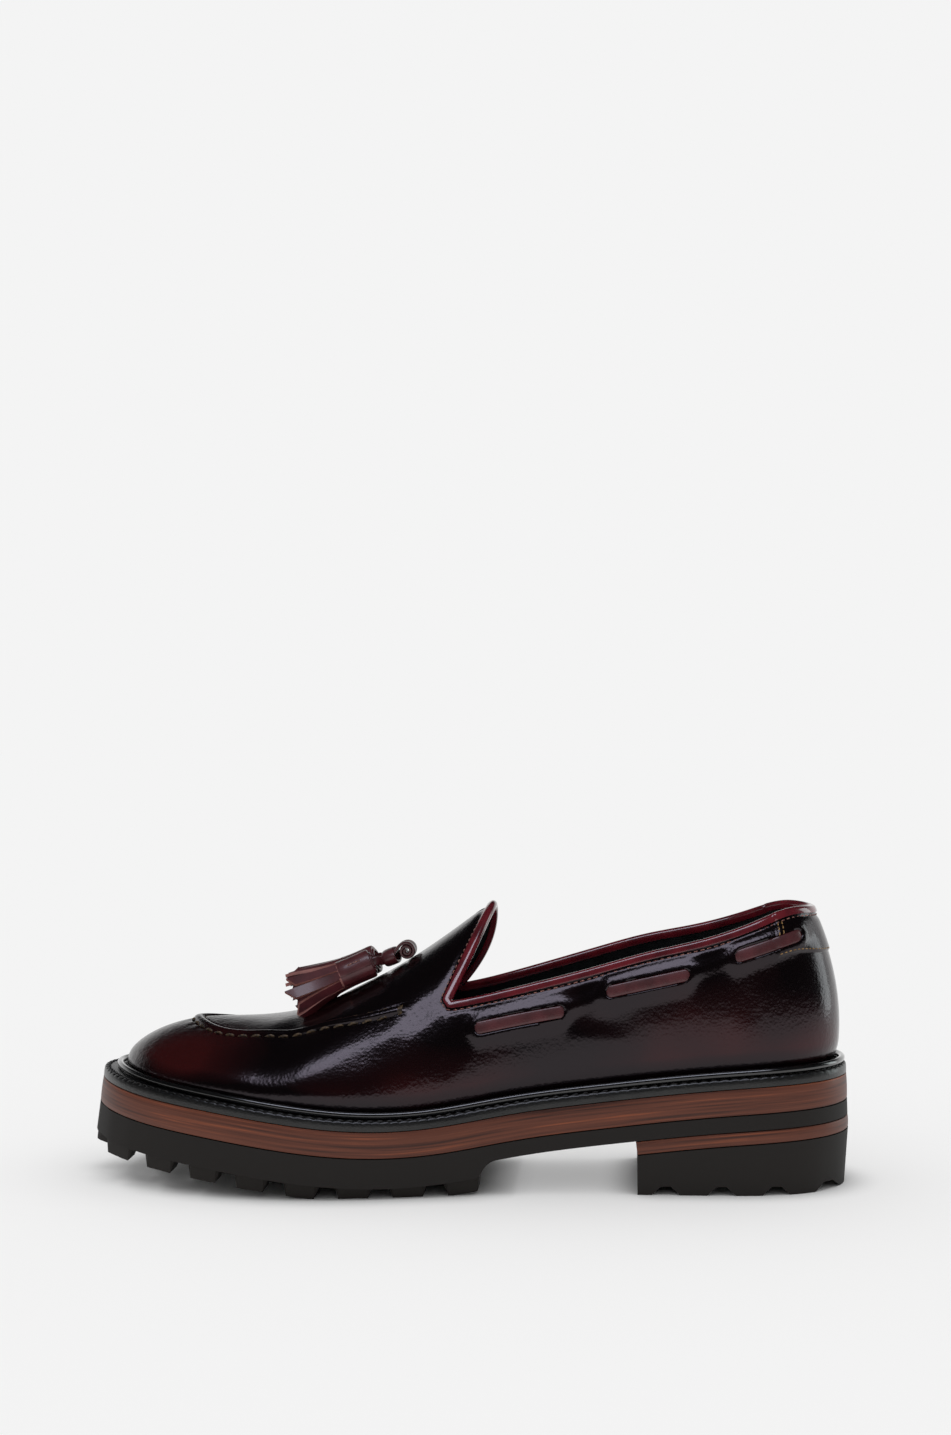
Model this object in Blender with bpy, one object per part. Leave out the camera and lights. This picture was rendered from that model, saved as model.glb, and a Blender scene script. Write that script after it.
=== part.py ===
"""Tassel loafer, left shoe, with a moccasin apron, bound collar, lugged sole and stacked edge.

Metres, +Z up, toe at +X, the wearer's left at +Y, floor at z = 0.
The sole is worked out along a curved underside line: a place on it has a distance along the shoe,
a distance across it and a distance up along the line's own normal.
The upper is one surface P(a, t): a runs once round its lower edge, t runs from that edge, at 0,
to the ridge of the last, at 1.
"""

import bmesh
import bpy
import numpy as np

MM = 0.001

# Driving dimensions
SOLE_LENGTH = 271 * MM
BALL_WIDTH = 95 * MM            # width of the sole where it is widest
WAIST_THICKNESS = 5.6 * MM      # rubber under the waist and over the heel
TREAD_WALL = 10.4 * MM          # rubber side under the forefoot, without its lugs
LUG_DEPTH = 5.0 * MM
LUG_STANDING = 0.78             # share of a lug's depth that is left where the sole stands
LIFT_THICKNESS = 4.7 * MM
HEEL_BLOCK_HEIGHT = 16.7 * MM
TOE_SPRING = 10.2 * MM
MIDSOLE_THICKNESS = 8.9 * MM
WELT_THICKNESS = 3.8 * MM
WELT_SHELF = 7.0 * MM           # from the upper to the sole's edge, at the toe
HEEL_BREAST = 76 * MM           # from the back of the sole to the front of the heel
WALL = 2.0 * MM                 # leather with its lining
GAP = 0.3 * MM                  # between pieces that touch
RAND_RADIUS = 1.15 * MM
INSOLE_RISE = 2.2 * MM          # of the insole over the welt
INSTEP_RISE = 66.0 * MM         # of the tongue's tip over the welt
COLLAR_RISE = 56.0 * MM         # of the collar's back over the welt
MEDIAL_RISE = 1.5 * MM          # of the collar's inner side over its outer side
WALL_BULGE = 4.0 * MM
THROAT_RADIUS = 4.3 * MM
TONGUE_SKEW = 4.5 * MM          # how much further back the tongue's inner edge curves
RIDGE_OFFSET = 4.5 * MM         # of the ridge of the last towards the big toe
BINDING_HEIGHT = 2.5 * MM
BINDING_PROUD = 0.5 * MM
SEAM_WIDTH = 3.6 * MM
SEAM_HEIGHT = 1.2 * MM
TAB_STEP = 0.7 * MM             # heel tab over the quarters
TAB_REACH = 27 * MM             # of the heel tab forward from the back of the sole
TAB_DEPTH = 13 * MM             # of the heel tab below the collar
LACE_WIDTH = 4.3 * MM
LACE_THICKNESS = 1.3 * MM
LUG_PITCH = 17.2 * MM
LUG_LENGTH = 12.0 * MM
LUG_FLANK = 1.4 * MM
LUG_INSET = 1.8 * MM
SIDE_LUG_WIDTH = 13.2 * MM      # of the lugs along the sole's edges
LUG_GROOVE = 2.6 * MM           # between the side lugs and the middle ones
FULL_TREAD = 70 * MM            # width of the tread below which the lugs narrow with it
TREAD_LENGTH = 140 * MM         # from the tread's rear end to the tip of the toe
NOTCH_DEPTH = 3.0 * MM
NOTCH_PITCH = 19.2 * MM
NOTCH_WIDTH = 10.0 * MM
HEEL_TAPER = 1.0 * MM
HEEL_ROUND = 2 * MM             # length of the heel's round back that has no notch
WAIST_CURVE = 1.5               # length of the curve down to the tread, in steps of its height
TASSEL_RADIUS = 5.6 * MM
TASSEL_CAP_LENGTH = 13.0 * MM
FRINGE_LENGTH = 17.5 * MM
FRINGE_STRIPS = 9
KNOT_SIZE = (12.5 * MM, 9.0 * MM, 6.6 * MM)     # along the ridge, across it and up from it
NECK_RADIUS = 1.2 * MM          # of the lace between knot and tassel, rolled

# Plan of the sole and wall of the upper, a row for each section from heel to toe.
# Distances along are shares of SOLE_LENGTH, across of BALL_WIDTH, shelves of WELT_SHELF
# and bulges of WALL_BULGE. Fullness is the power of the wall's rounded profile.
OUTLINE_COLUMNS = (
    "along", "lateral", "medial", "shelf_lateral", "shelf_medial",
    "bulge_lateral", "bulge_medial", "fullness",
)
OUTLINE = (
    (0.000, 0.000, 0.000, 0.50, 0.50, 0.70, 0.70, 1.80),
    (0.026, 0.205, -0.203, 0.50, 0.50, 0.68, 0.68, 1.82),
    (0.085, 0.318, -0.312, 0.50, 0.50, 0.58, 0.58, 1.92),
    (0.170, 0.352, -0.345, 0.52, 0.50, 0.60, 0.55, 2.00),
    (0.280, 0.356, -0.345, 0.56, 0.50, 0.70, 0.90, 2.00),
    (0.390, 0.369, -0.314, 0.60, 0.48, 0.62, 1.35, 2.00),
    (0.480, 0.410, -0.312, 0.66, 0.48, 0.50, 1.35, 2.00),
    (0.560, 0.468, -0.362, 0.72, 0.52, 0.40, 0.85, 2.02),
    (0.640, 0.518, -0.430, 0.78, 0.60, 0.30, 0.45, 2.05),
    (0.720, 0.534, -0.468, 0.82, 0.70, 0.22, 0.28, 2.08),
    (0.800, 0.505, -0.474, 0.86, 0.78, 0.16, 0.16, 2.08),
    (0.880, 0.420, -0.438, 0.92, 0.88, 0.10, 0.10, 2.02),
    (0.945, 0.285, -0.345, 0.98, 0.96, 0.04, 0.04, 1.96),
    (0.985, 0.125, -0.205, 1.00, 1.00, 0.00, 0.00, 1.92),
    (1.000, -0.040, -0.040, 1.00, 1.00, 0.00, 0.00, 1.90),
)

# Underside line of the midsole: a row for each station, with its share of the heel's rise
# over the ball and its share of TOE_SPRING.
UNDERSIDE = (
    # along, heel share, spring share
    (0.000, 1.22, 0.00),
    (0.075, 1.16, 0.00),
    (0.195, 0.98, 0.00),
    (0.316, 0.69, 0.00),
    (0.437, 0.35, 0.00),
    (0.526, 0.06, 0.00),
    (0.590, -0.02, 0.00),
    (0.650, 0.00, 0.03),
    (0.710, 0.00, 0.19),
    (0.776, 0.00, 0.42),
    (0.842, 0.00, 0.64),
    (0.912, 0.00, 0.84),
    (1.000, 0.00, 1.13),
)

# Ridge of the last: distance along and rise over the welt as shares of SOLE_LENGTH and INSTEP_RISE.
# Behind the tongue's tip it only shapes the quarters below it.
RIDGE = (
    # along, rise
    (0.165, 1.36),
    (0.280, 1.28),
    (0.390, 1.17),
    (0.475, 1.02),
    (0.551, 0.835),
    (0.618, 0.672),
    (0.665, 0.562),
    (0.701, 0.474),
    (0.728, 0.430),
    (0.765, 0.386),
    (0.838, 0.336),
)

# Collar seen from the side, without its binding: rises over the welt as shares of COLLAR_RISE.
COLLAR = (
    # along, rise
    (0.040, 0.950),
    (0.075, 0.963),
    (0.115, 0.912),
    (0.195, 0.815),
    (0.259, 0.775),
    (0.325, 0.723),
    (0.432, 0.657),
    (0.515, 0.637),
    (0.590, 0.640),
)

# Apron seam: t of the wall's lines, from the throat, at 0, to the tip of the toe, at 1.
SEAM = (
    # from throat, t
    (0.000, 0.443),
    (0.133, 0.498),
    (0.267, 0.540),
    (0.400, 0.590),
    (0.533, 0.636),
    (0.667, 0.652),
    (0.800, 0.676),
    (0.900, 0.742),
    (1.000, 0.839),
)
SEAM_END = 0.573                # where the seam's ridge starts, a share of SOLE_LENGTH

THROAT_ALONG = 0.5316           # tongue's lower corner, a share of SOLE_LENGTH
TIP_ALONG = 0.475               # tongue's tip
SPINE_REAR = 0.176              # ends of the ridge that the wall's lines lead to
SPINE_FRONT = 0.838

# Bars of lace along the collar: both ends as shares of SOLE_LENGTH, and rises over the welt
# as shares of COLLAR_RISE.
LACE_BARS = (
    # rear along, rear rise, front along, front rise
    (0.3700, 0.515, 0.4830, 0.490),
    (0.2100, 0.655, 0.3150, 0.600),
    (0.0680, 0.835, 0.1510, 0.735),
)

# Knot and tassels, as seen from the side and from above
KNOT_ALONG = 0.5868             # middle of the knot, a share of SOLE_LENGTH
CAP_ALONG = 0.6290              # where a tassel's cap starts
CAP_CLEARANCE = 7.6 * MM        # of its middle over the ridge there
TASSEL_DROP = np.radians(23.5)  # slope of a tassel's axis
TASSEL_SPLAY = np.radians(7.0)  # how far a tassel turns from the ridge
TASSEL_SIDE = 7.2 * MM          # of a cap's start from the ridge
FRINGE_SPREAD = (8.6 * MM, 6.1 * MM)            # half width and half depth at the tips

# Counts of stations and rows
REAR_STATIONS = 15
TONGUE_STATIONS = 8
FRONT_STATIONS = 20
WALL_ROWS = 6
PLUG_ROWS = 4
EDGE_ROWS = (0.0, 0.5, 1.1)     # rows beside the seam, in half widths of it


def natural_spline(stations, values):
    """Smooth curve through the values, straight past its ends; it returns value and slope."""
    x, y = np.asarray(stations, float), np.asarray(values, float)
    h, step = np.diff(x), np.diff(y) / np.diff(x)
    n = len(x)
    system, right = np.eye(n), np.zeros(n)
    for i in range(1, n - 1):
        system[i, i - 1:i + 2] = h[i - 1], 2 * (h[i - 1] + h[i]), h[i]
        right[i] = 6 * (step[i] - step[i - 1])
    bend = np.linalg.solve(system, right)

    def curve(at):
        inside = np.clip(at, x[0], x[-1])
        i = np.clip(np.searchsorted(x, inside, side="right") - 1, 0, n - 2)
        b, c = inside - x[i], x[i + 1] - inside
        slope = step[i] - h[i] * (bend[i + 1] - bend[i]) / 6
        slope = slope + (bend[i + 1] * b**2 - bend[i] * c**2) / (2 * h[i])
        value = (bend[i] * c**3 + bend[i + 1] * b**3) / (6 * h[i])
        value = value + (y[i] / h[i] - bend[i] * h[i] / 6) * c
        value = value + (y[i + 1] / h[i] - bend[i + 1] * h[i] / 6) * b
        return value + slope * (at - inside), slope

    return curve


def closed_spline(points):
    """Smooth closed curve through rows of values, spaced by the first two columns' distances.

    It returns the curve, which gives rows of values and slopes, and the share of each point."""
    rows = np.asarray(points, float)
    h = np.linalg.norm(np.roll(rows, -1, axis=0)[:, :2] - rows[:, :2], axis=1)
    total, n = h.sum(), len(rows)
    start = np.concatenate([[0.0], np.cumsum(h)]) / total
    h = h / total
    ahead = np.roll(rows, -1, axis=0)
    step = (ahead - rows) / h[:, None]
    system = np.zeros((n, n))
    for i in range(n):
        system[i, i - 1] += h[i - 1]
        system[i, i] += 2 * (h[i - 1] + h[i])
        system[i, (i + 1) % n] += h[i]
    bend = np.linalg.solve(system, 6 * (step - np.roll(step, 1, axis=0)))
    bend_ahead = np.roll(bend, -1, axis=0)

    def curve(at):
        at = np.mod(at, 1.0)
        i = np.clip(np.searchsorted(start, at, side="right") - 1, 0, n - 1)
        b = (at - start[i])[..., None]
        w = h[i][..., None]
        c = w - b
        value = (bend[i] * c**3 + bend_ahead[i] * b**3) / (6 * w)
        value = value + (rows[i] / w - bend[i] * w / 6) * c
        value = value + (ahead[i] / w - bend_ahead[i] * w / 6) * b
        slope = step[i] - w * (bend_ahead[i] - bend[i]) / 6
        slope = slope + (bend_ahead[i] * b**2 - bend[i] * c**2) / (2 * w)
        return value, slope

    return curve, start[:-1]


def share(x):
    """Share of the sole's length of a place along it, in metres from its middle."""
    return x / SOLE_LENGTH + 0.5


def place(along):
    return (along - 0.5) * SOLE_LENGTH


def column(rows, index):
    return np.array([row[index] for row in rows], float)


def outline_loop():
    """Rows round the sole: heel tip, lateral rows, toe tip, then medial rows back to the heel."""
    rows = [dict(zip(OUTLINE_COLUMNS, row)) for row in OUTLINE]
    lateral = [
        (place(r["along"]), r["lateral"] * BALL_WIDTH, r["shelf_lateral"] * WELT_SHELF,
         r["bulge_lateral"] * WALL_BULGE, r["fullness"])
        for r in rows
    ]
    medial = [
        (place(r["along"]), r["medial"] * BALL_WIDTH, r["shelf_medial"] * WELT_SHELF,
         r["bulge_medial"] * WALL_BULGE, r["fullness"])
        for r in rows[1:-1]
    ]
    return lateral + medial[::-1]


OUTLINE_CURVE, OUTLINE_STARTS = closed_spline(outline_loop())
TOE = OUTLINE_STARTS[len(OUTLINE) - 1]      # the toe tip's share of the way round

BALL_STACK = TREAD_WALL + LUG_STANDING * LUG_DEPTH
HEEL_STACK = WAIST_THICKNESS + LIFT_THICKNESS + HEEL_BLOCK_HEIGHT
UNDERSIDE_CURVE = natural_spline(
    place(column(UNDERSIDE, 0)),
    BALL_STACK + column(UNDERSIDE, 1) * (HEEL_STACK - BALL_STACK)
    + column(UNDERSIDE, 2) * TOE_SPRING,
)
WELT_TOP = MIDSOLE_THICKNESS + WELT_THICKNESS
RIDGE_CURVE = natural_spline(place(column(RIDGE, 0)), column(RIDGE, 1) * INSTEP_RISE)
SEAM_CURVE = natural_spline(column(SEAM, 0), column(SEAM, 1))
COLLAR_CURVE = natural_spline(place(column(COLLAR, 0)), column(COLLAR, 1) * COLLAR_RISE)


def sole_point(u, y, n):
    """Point u along and y across, n up from the underside line along its normal."""
    u, y, n = np.broadcast_arrays(np.asarray(u, float), y, n)
    z, slope = UNDERSIDE_CURVE(u)
    length = np.sqrt(1 + slope**2)
    return np.stack([u - n * slope / length, y, z + n / length], axis=-1)


def welt_height(x):
    return UNDERSIDE_CURVE(x)[0] + WELT_TOP


def collar_rise(x, side):
    """Rise of the collar's edge over the welt; the inner side is a little higher along its middle."""
    rise = COLLAR_CURVE(x)[0]
    middle = np.clip((share(x) - 0.08) / (THROAT_ALONG - 0.08), 0.0, 1.0)
    return rise + (side < 0) * MEDIAL_RISE * np.sin(np.pi * middle) ** 2


def inset_outline(a, inset=0.0, shelf=1.0):
    """Place on the sole's plan at share a of the way round, moved in by the shelf and the inset."""
    value, slope = OUTLINE_CURVE(np.asarray(a, float))
    length = np.hypot(slope[..., 0], slope[..., 1])
    move = value[..., 2] * shelf + inset
    u = value[..., 0] + slope[..., 1] / length * move
    y = value[..., 1] - slope[..., 0] / length * move
    return u, y, value


DENSE = np.linspace(0.0, 1.0, 8001)
LATERAL_A = DENSE * TOE
MEDIAL_A = 1 - DENSE * (1 - TOE)
REAR_U, TOE_U = inset_outline(0.0)[0], inset_outline(TOE)[0]


def around(s, side, inset=0.0, shelf=1.0):
    """Share of the way round where the inset plan is at share s of its own length."""
    a = LATERAL_A if side > 0 else MEDIAL_A
    u = inset_outline(a, inset, shelf)[0]
    way = np.maximum.accumulate((u - u[0]) / (u[-1] - u[0]))
    found = np.interp(s, way, a)
    return np.where(np.asarray(s) <= 0.0, a[0], np.where(np.asarray(s) >= 1.0, a[-1], found))


def ridge_point(u):
    """Point of the ridge that the wall's line from u along leads to, and the ridge's slope."""
    s = (u - REAR_U) / (TOE_U - REAR_U)
    x = place(SPINE_REAR + s * (SPINE_FRONT - SPINE_REAR))
    rise, slope = RIDGE_CURVE(x)
    return x, rise + welt_height(x), slope + UNDERSIDE_CURVE(x)[1]


def last_point(a, t):
    """Surface of the last. From the lower edge F at a, the wall rises to the ridge's point S.

    Across, it goes 1 - cos^(2/p) of the way, and up, sin^(2/p), for an angle of t quarter turns.
    The ridge's own slope is added in proportion to the way across. A bulge pushes the wall out,
    most at a third of its height."""
    a, t = np.broadcast_arrays(np.asarray(a, float), np.asarray(t, float))
    u, y, value = inset_outline(a)
    foot = sole_point(u, y, WELT_TOP + GAP)
    bulge, power = value[..., 3], value[..., 4]
    x_ridge, z_ridge, slope = ridge_point(u)
    dx, dy = x_ridge - foot[..., 0], -RIDGE_OFFSET - foot[..., 1]
    reach = np.hypot(dx, dy)
    tilt = slope * dx
    angle = np.clip(t, 0.0, 1.0) * np.pi / 2
    across = 1 - np.cos(angle) ** (2 / power)
    up = np.sin(angle) ** (2 / power)
    z = foot[..., 2] + (z_ridge - foot[..., 2] - tilt) * up + tilt * across
    out = bulge * 6.75 * up * (1 - up) ** 2
    x = foot[..., 0] + dx * across - dx / reach * out
    y = foot[..., 1] + dy * across - dy / reach * out
    return np.stack([x, y, z], axis=-1)


def last_normal(a, t):
    """Outward unit normal, from the surface's slopes both ways, and on the ridge from its slope."""
    a, t = np.broadcast_arrays(np.asarray(a, float), np.asarray(t, float))
    row = np.clip(t, 0.012, 0.975)
    along = last_point(a + 2e-4, row) - last_point(a - 2e-4, row)
    up = last_point(a, row + 2e-3) - last_point(a, row - 2e-3)
    normal = np.cross(up, along)
    slope = ridge_point(inset_outline(a)[0])[2]
    on_ridge = np.stack([-slope, np.zeros_like(slope), np.ones_like(slope)], axis=-1)
    normal = np.where((t > 0.9999)[..., None], on_ridge, normal)
    return normal / np.linalg.norm(normal, axis=-1, keepdims=True)


def row_speed(a, t):
    """Metres along the wall for a full step of t."""
    step = last_point(a, np.minimum(t + 0.01, 1.0)) - last_point(a, t - 0.01)
    return np.linalg.norm(step, axis=-1) / (np.minimum(t + 0.01, 1.0) - t + 0.01)


def solve(function, low, high):
    """Where a rising function of t crosses zero, found by halving."""
    for _ in range(44):
        middle = (low + high) / 2
        below = function(middle) < 0
        low, high = np.where(below, middle, low), np.where(below, high, middle)
    return (low + high) / 2


def tongue_edge(z, side, corner):
    """The tongue's edge seen from the side, straight from its corner to its tip but for a skew."""
    tip_x = place(TIP_ALONG)
    tip_z = welt_height(tip_x) + RIDGE_CURVE(tip_x)[0]
    corner_z = welt_height(corner) + collar_rise(corner, side)
    down = (tip_z - z) / (tip_z - corner_z)
    skew = TONGUE_SKEW * 4 * np.clip(down, 0, 1) * np.clip(1 - down, 0, 1) * (side < 0)
    return tip_x + (corner - tip_x) * down - skew


def opening(a, t, side, corner):
    """Positive inside the foot's opening: above the collar, behind the tongue, rounded between."""
    point = last_point(a, t)
    x, z = point[..., 0], point[..., 2]
    above = z - welt_height(x) - collar_rise(x, side)
    lean = (place(THROAT_ALONG) - place(TIP_ALONG)) / INSTEP_RISE * 2      # of the tongue's edge
    behind = (tongue_edge(z, side, corner) - x) / np.hypot(1.0, lean)
    short_above = np.maximum(THROAT_RADIUS - above, 0.0)
    short_behind = np.maximum(THROAT_RADIUS - behind, 0.0)
    return THROAT_RADIUS - np.hypot(short_above, short_behind)


SAMPLES = np.linspace(0.02, 1.0, 393)


def most_open(s, side, corner):
    """For each line s of the wall, the largest value of the opening and the t where it is."""
    a = around(s, side)
    value = opening(np.asarray(a)[..., None], SAMPLES, side, corner)
    best = value.argmax(axis=-1)
    return np.take_along_axis(value, best[..., None], -1)[..., 0], SAMPLES[best]


def throat_line(side, corner):
    """The foremost line s of the wall that the opening touches."""
    return solve(lambda s: -most_open(s, side, corner)[0], np.array(0.40), np.array(0.75))


THROAT_X = {1: place(THROAT_ALONG)}
THROAT_S = throat_line(1, THROAT_X[1])
THROAT_X[-1] = place(THROAT_ALONG) + solve(
    lambda shift: throat_line(-1, place(THROAT_ALONG) + shift) - THROAT_S,
    np.array(-20 * MM), np.array(20 * MM),
)
TIP_S = (TIP_ALONG - SPINE_REAR) / (SPINE_FRONT - SPINE_REAR)


def lower_edge_of_opening(s, side):
    a, peak = around(s, side), most_open(s, side, THROAT_X[side])[1]
    return solve(lambda t: opening(a, t, side, THROAT_X[side]), np.zeros_like(a), peak)


def upper_edge_of_opening(s, side):
    a, peak = around(s, side), most_open(s, side, THROAT_X[side])[1]
    return solve(lambda t: -opening(a, t, side, THROAT_X[side]), peak, np.ones_like(a))


def smooth_step(x):
    x = np.clip(x, 0.0, 1.0)
    return x * x * (3 - 2 * x)


THROAT_T = {side: float(most_open(THROAT_S, side, THROAT_X[side])[1]) for side in (1, -1)}


def front_row(s, side):
    """t of the line that the wall and the apron share, from the throat's corner to the toe."""
    forward = (s - THROAT_S) / (1 - THROAT_S)
    lead = 1 - smooth_step(forward / 0.15)
    return SEAM_CURVE(forward)[0] + (THROAT_T[side] - SEAM_CURVE(0.0)[0]) * lead


SEAM_S = np.linspace(float(THROAT_S), 1.0, 240)
SEAM_ROWS = {side: front_row(SEAM_S, side) for side in (1, -1)}
SEAM_AROUND = {side: around(SEAM_S, side) for side in (1, -1)}


def relief(a, t, side):
    """Height over the last of the apron's rolled seam and of the heel tab."""
    point = last_point(a, t)
    order = 1 if side > 0 else -1
    row = np.interp(a, SEAM_AROUND[side][::order], SEAM_ROWS[side][::order])
    away = (t - row) * row_speed(a, row) / (SEAM_WIDTH / 2)
    roll = SEAM_HEIGHT * np.cos(np.clip(away, -1, 1) * np.pi / 2) ** 2
    roll = roll * smooth_step((point[..., 0] - place(SEAM_END)) / SEAM_WIDTH)
    x, z = point[..., 0], point[..., 2]
    back = smooth_step((place(0) + TAB_REACH - x) / TAB_STEP / 2)
    collar = welt_height(x) + collar_rise(x, side)
    high = smooth_step((z - collar + TAB_DEPTH) / TAB_STEP / 2)
    return roll + TAB_STEP * back * high


def wall_rows(edge, speed):
    """t of every row of a wall's line, close together beside its upper edge."""
    near = np.array(EDGE_ROWS[:0:-1])[:, None] * SEAM_WIDTH / 2 / speed
    full = np.linspace(0, 1, WALL_ROWS + 1)[:-1, None] * (edge - near[0] * 1.9)
    full = np.concatenate([full, edge[None] - near * 1.0, edge[None]])
    return full.T


def plug_rows(edge, speed):
    """t of every row of a line from the seam or the tongue's edge to the ridge."""
    room = (1 - edge) * speed
    near = np.array(EDGE_ROWS)[:, None] * SEAM_WIDTH / 2
    near = near * np.minimum(1.0, room / (4 * SEAM_WIDTH)) / speed
    start = edge + near[-1]
    rest = np.linspace(0, 1, PLUG_ROWS + 1)[1:, None] * (1 - start) + start
    return np.concatenate([edge + near, rest]).T


def eased(first, last, count, ends="both"):
    """Stations from first to last, closer together at the ends named: both, first or last."""
    x = np.linspace(0, 1, count)
    spread = {"both": (1 - np.cos(np.pi * x)) / 2, "first": x**2, "last": 1 - (1 - x) ** 2}
    return first + (last - first) * spread[ends]


def quads(rows, columns, first=0):
    """Faces of a grid of rows and columns, as indices into its points laid row by row."""
    i, j = np.meshgrid(np.arange(rows - 1), np.arange(columns - 1), indexing="ij")
    corner = (first + i * columns + j).ravel()
    return np.stack([corner, corner + 1, corner + columns + 1, corner + columns], axis=1)


class Pieces:
    """Collects grids of points, and makes one closed mesh of them."""

    def __init__(self):
        self.points = []
        self.faces = []
        self.count = 0

    def grid(self, points, flip=False):
        rows, columns = points.shape[:2]
        faces = quads(rows, columns, self.count)
        self.points.append(points.reshape(-1, 3))
        self.faces.append(faces[:, ::-1] if flip else faces)
        self.count += rows * columns

    def object(self, name, material, smooth_angle=40):
        mesh = bpy.data.meshes.new(name)
        points = np.concatenate(self.points)
        mesh.from_pydata(points.tolist(), [], np.concatenate(self.faces).tolist())
        shape = bmesh.new()
        shape.from_mesh(mesh)
        bmesh.ops.remove_doubles(shape, verts=shape.verts, dist=0.02 * MM)
        bmesh.ops.dissolve_degenerate(shape, edges=shape.edges, dist=0.001 * MM)
        bmesh.ops.triangulate(shape, faces=shape.faces)
        bmesh.ops.recalc_face_normals(shape, faces=shape.faces)
        shape.to_mesh(mesh)
        shape.free()
        mesh.shade_smooth()
        mesh.set_sharp_from_angle(angle=np.radians(smooth_angle))
        mesh.materials.append(material)
        piece = bpy.data.objects.new(name, mesh)
        bpy.context.scene.collection.objects.link(piece)
        return piece


def finish(name, colour, roughness, metallic=0.0):
    """A material with a Principled shader; the colour is linear."""
    material = bpy.data.materials.new(name)
    material.use_nodes = True
    shader = material.node_tree.nodes["Principled BSDF"]
    shader.inputs["Base Color"].default_value = (*colour, 1.0)
    shader.inputs["Roughness"].default_value = roughness
    shader.inputs["Metallic"].default_value = metallic
    material.diffuse_color = (*colour, 1.0)
    return material


def surface(s, rows, side):
    """Outer and inner points of the upper for lines s and their rows of t."""
    a = np.broadcast_to(around(s, side)[:, None], rows.shape)
    point, normal = last_point(a, rows), last_normal(a, rows)
    outer = point + normal * relief(a, rows, side)[..., None]
    return outer, point - normal * WALL


def make_upper(material):
    pieces = Pieces()
    rear = eased(0.0, float(THROAT_S), REAR_STATIONS)
    tongue = eased(TIP_S, float(THROAT_S), TONGUE_STATIONS)
    front = eased(float(THROAT_S), 1.0, FRONT_STATIONS, "last")
    for side in (1, -1):
        edge = np.concatenate(
            [lower_edge_of_opening(rear[:-1], side), front_row(front, side)]
        )
        s = np.concatenate([rear[:-1], front])
        a = around(s, side)
        outer, inner = surface(s, wall_rows(edge, row_speed(a, edge)), side)
        pieces.grid(outer)
        pieces.grid(inner)
        pieces.grid(np.stack([outer[:, 0], inner[:, 0]], axis=1))
        rim = len(rear)
        pieces.grid(np.stack([outer[:rim, -1], inner[:rim, -1]], axis=1))
        edge = np.concatenate(
            [upper_edge_of_opening(tongue[:-1], side), front_row(front, side)]
        )
        s = np.concatenate([tongue[:-1], front])
        a = around(s, side)
        outer, inner = surface(s, plug_rows(edge, row_speed(a, np.minimum(edge, 0.99))), side)
        pieces.grid(outer)
        pieces.grid(inner)
        rim = len(tongue)
        pieces.grid(np.stack([outer[:rim, 0], inner[:rim, 0]], axis=1))
    return pieces.object("upper", material)


def plate(name, material, bottom, top, inset=0.0, shelf=0.0, count=44, first=0.0, last=1.0):
    """Slab with the sole's plan moved in, between two heights over the underside line."""
    pieces = Pieces()
    s = eased(first, last, count)
    edges = {}
    for side in (1, -1):
        u, y, _ = inset_outline(around(s, side, inset, shelf), inset, shelf)
        edges[side] = sole_point(u, y, bottom), sole_point(u, y, top)
        pieces.grid(np.stack(edges[side], axis=1))
    for level in (0, 1):
        pieces.grid(np.stack([edges[1][level], edges[-1][level]], axis=1))
    for end, share_at in ((0, first), (-1, last)):
        if 0.0 < share_at < 1.0:
            pieces.grid(np.stack(
                [np.stack([edges[side][level][end] for side in (1, -1)]) for level in (0, 1)]
            ))
    return pieces.object(name, material)


def ring(name, material, section, lean=0.0, count=96):
    """Closed ring round the plan: the section gives insets from the sole's plan and heights.

    It moves out by the share lean of the wall's bulge."""
    pieces = Pieces()
    a = np.linspace(0, 1, count + 1)
    loops = []
    for inset, shelf, height in section + section[:1]:
        bulge = inset_outline(a)[2][..., 3]
        u, y, _ = inset_outline(a, inset - lean * bulge, shelf)
        loops.append(sole_point(u, y, height))
    pieces.grid(np.stack(loops, axis=1))
    return pieces.object(name, material)


def make_welt(material):
    low, high = MIDSOLE_THICKNESS + GAP, WELT_TOP
    return ring("welt", material, [(0, 0, low), (0, 0, high), (WALL, 1, high), (WALL, 1, low)])


def make_rand(material):
    """Half-round bead of leather on the welt, against the upper."""
    out, up = 1.5 * GAP + RAND_RADIUS, WELT_TOP + GAP + RAND_RADIUS
    turn = np.linspace(0, 2 * np.pi, 8, endpoint=False) + np.pi / 8
    section = [
        (-out + RAND_RADIUS * np.cos(angle), 1, up + RAND_RADIUS * np.sin(angle)) for angle in turn
    ]
    return ring("rand", material, section, lean=0.16)


def make_insole(material):
    return plate(
        "insole", material, MIDSOLE_THICKNESS + GAP, WELT_TOP + INSOLE_RISE,
        inset=WALL + 1.4 * GAP, shelf=1.0,
    )


def cross_columns(width):
    """Places across the tread in metres from its lateral edge, and whether each is on a lug."""
    scale = np.minimum(1.0, width / FULL_TREAD)
    inner = LUG_INSET + SIDE_LUG_WIDTH
    middle = inner + LUG_FLANK + LUG_GROOVE
    side_lug = [
        (0.0, 0), (LUG_INSET, 0), (LUG_INSET + LUG_FLANK, 1), (inner, 1),
        (inner + LUG_FLANK, 0), (middle, 0), (middle + LUG_FLANK, 1),
    ]
    from_lateral = [(distance * scale, lug) for distance, lug in side_lug]
    from_medial = [(width - distance * scale, lug) for distance, lug in side_lug[::-1]]
    rows = from_lateral + from_medial
    return np.stack([row[0] for row in rows], axis=-1), np.array([row[1] for row in rows])


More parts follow.
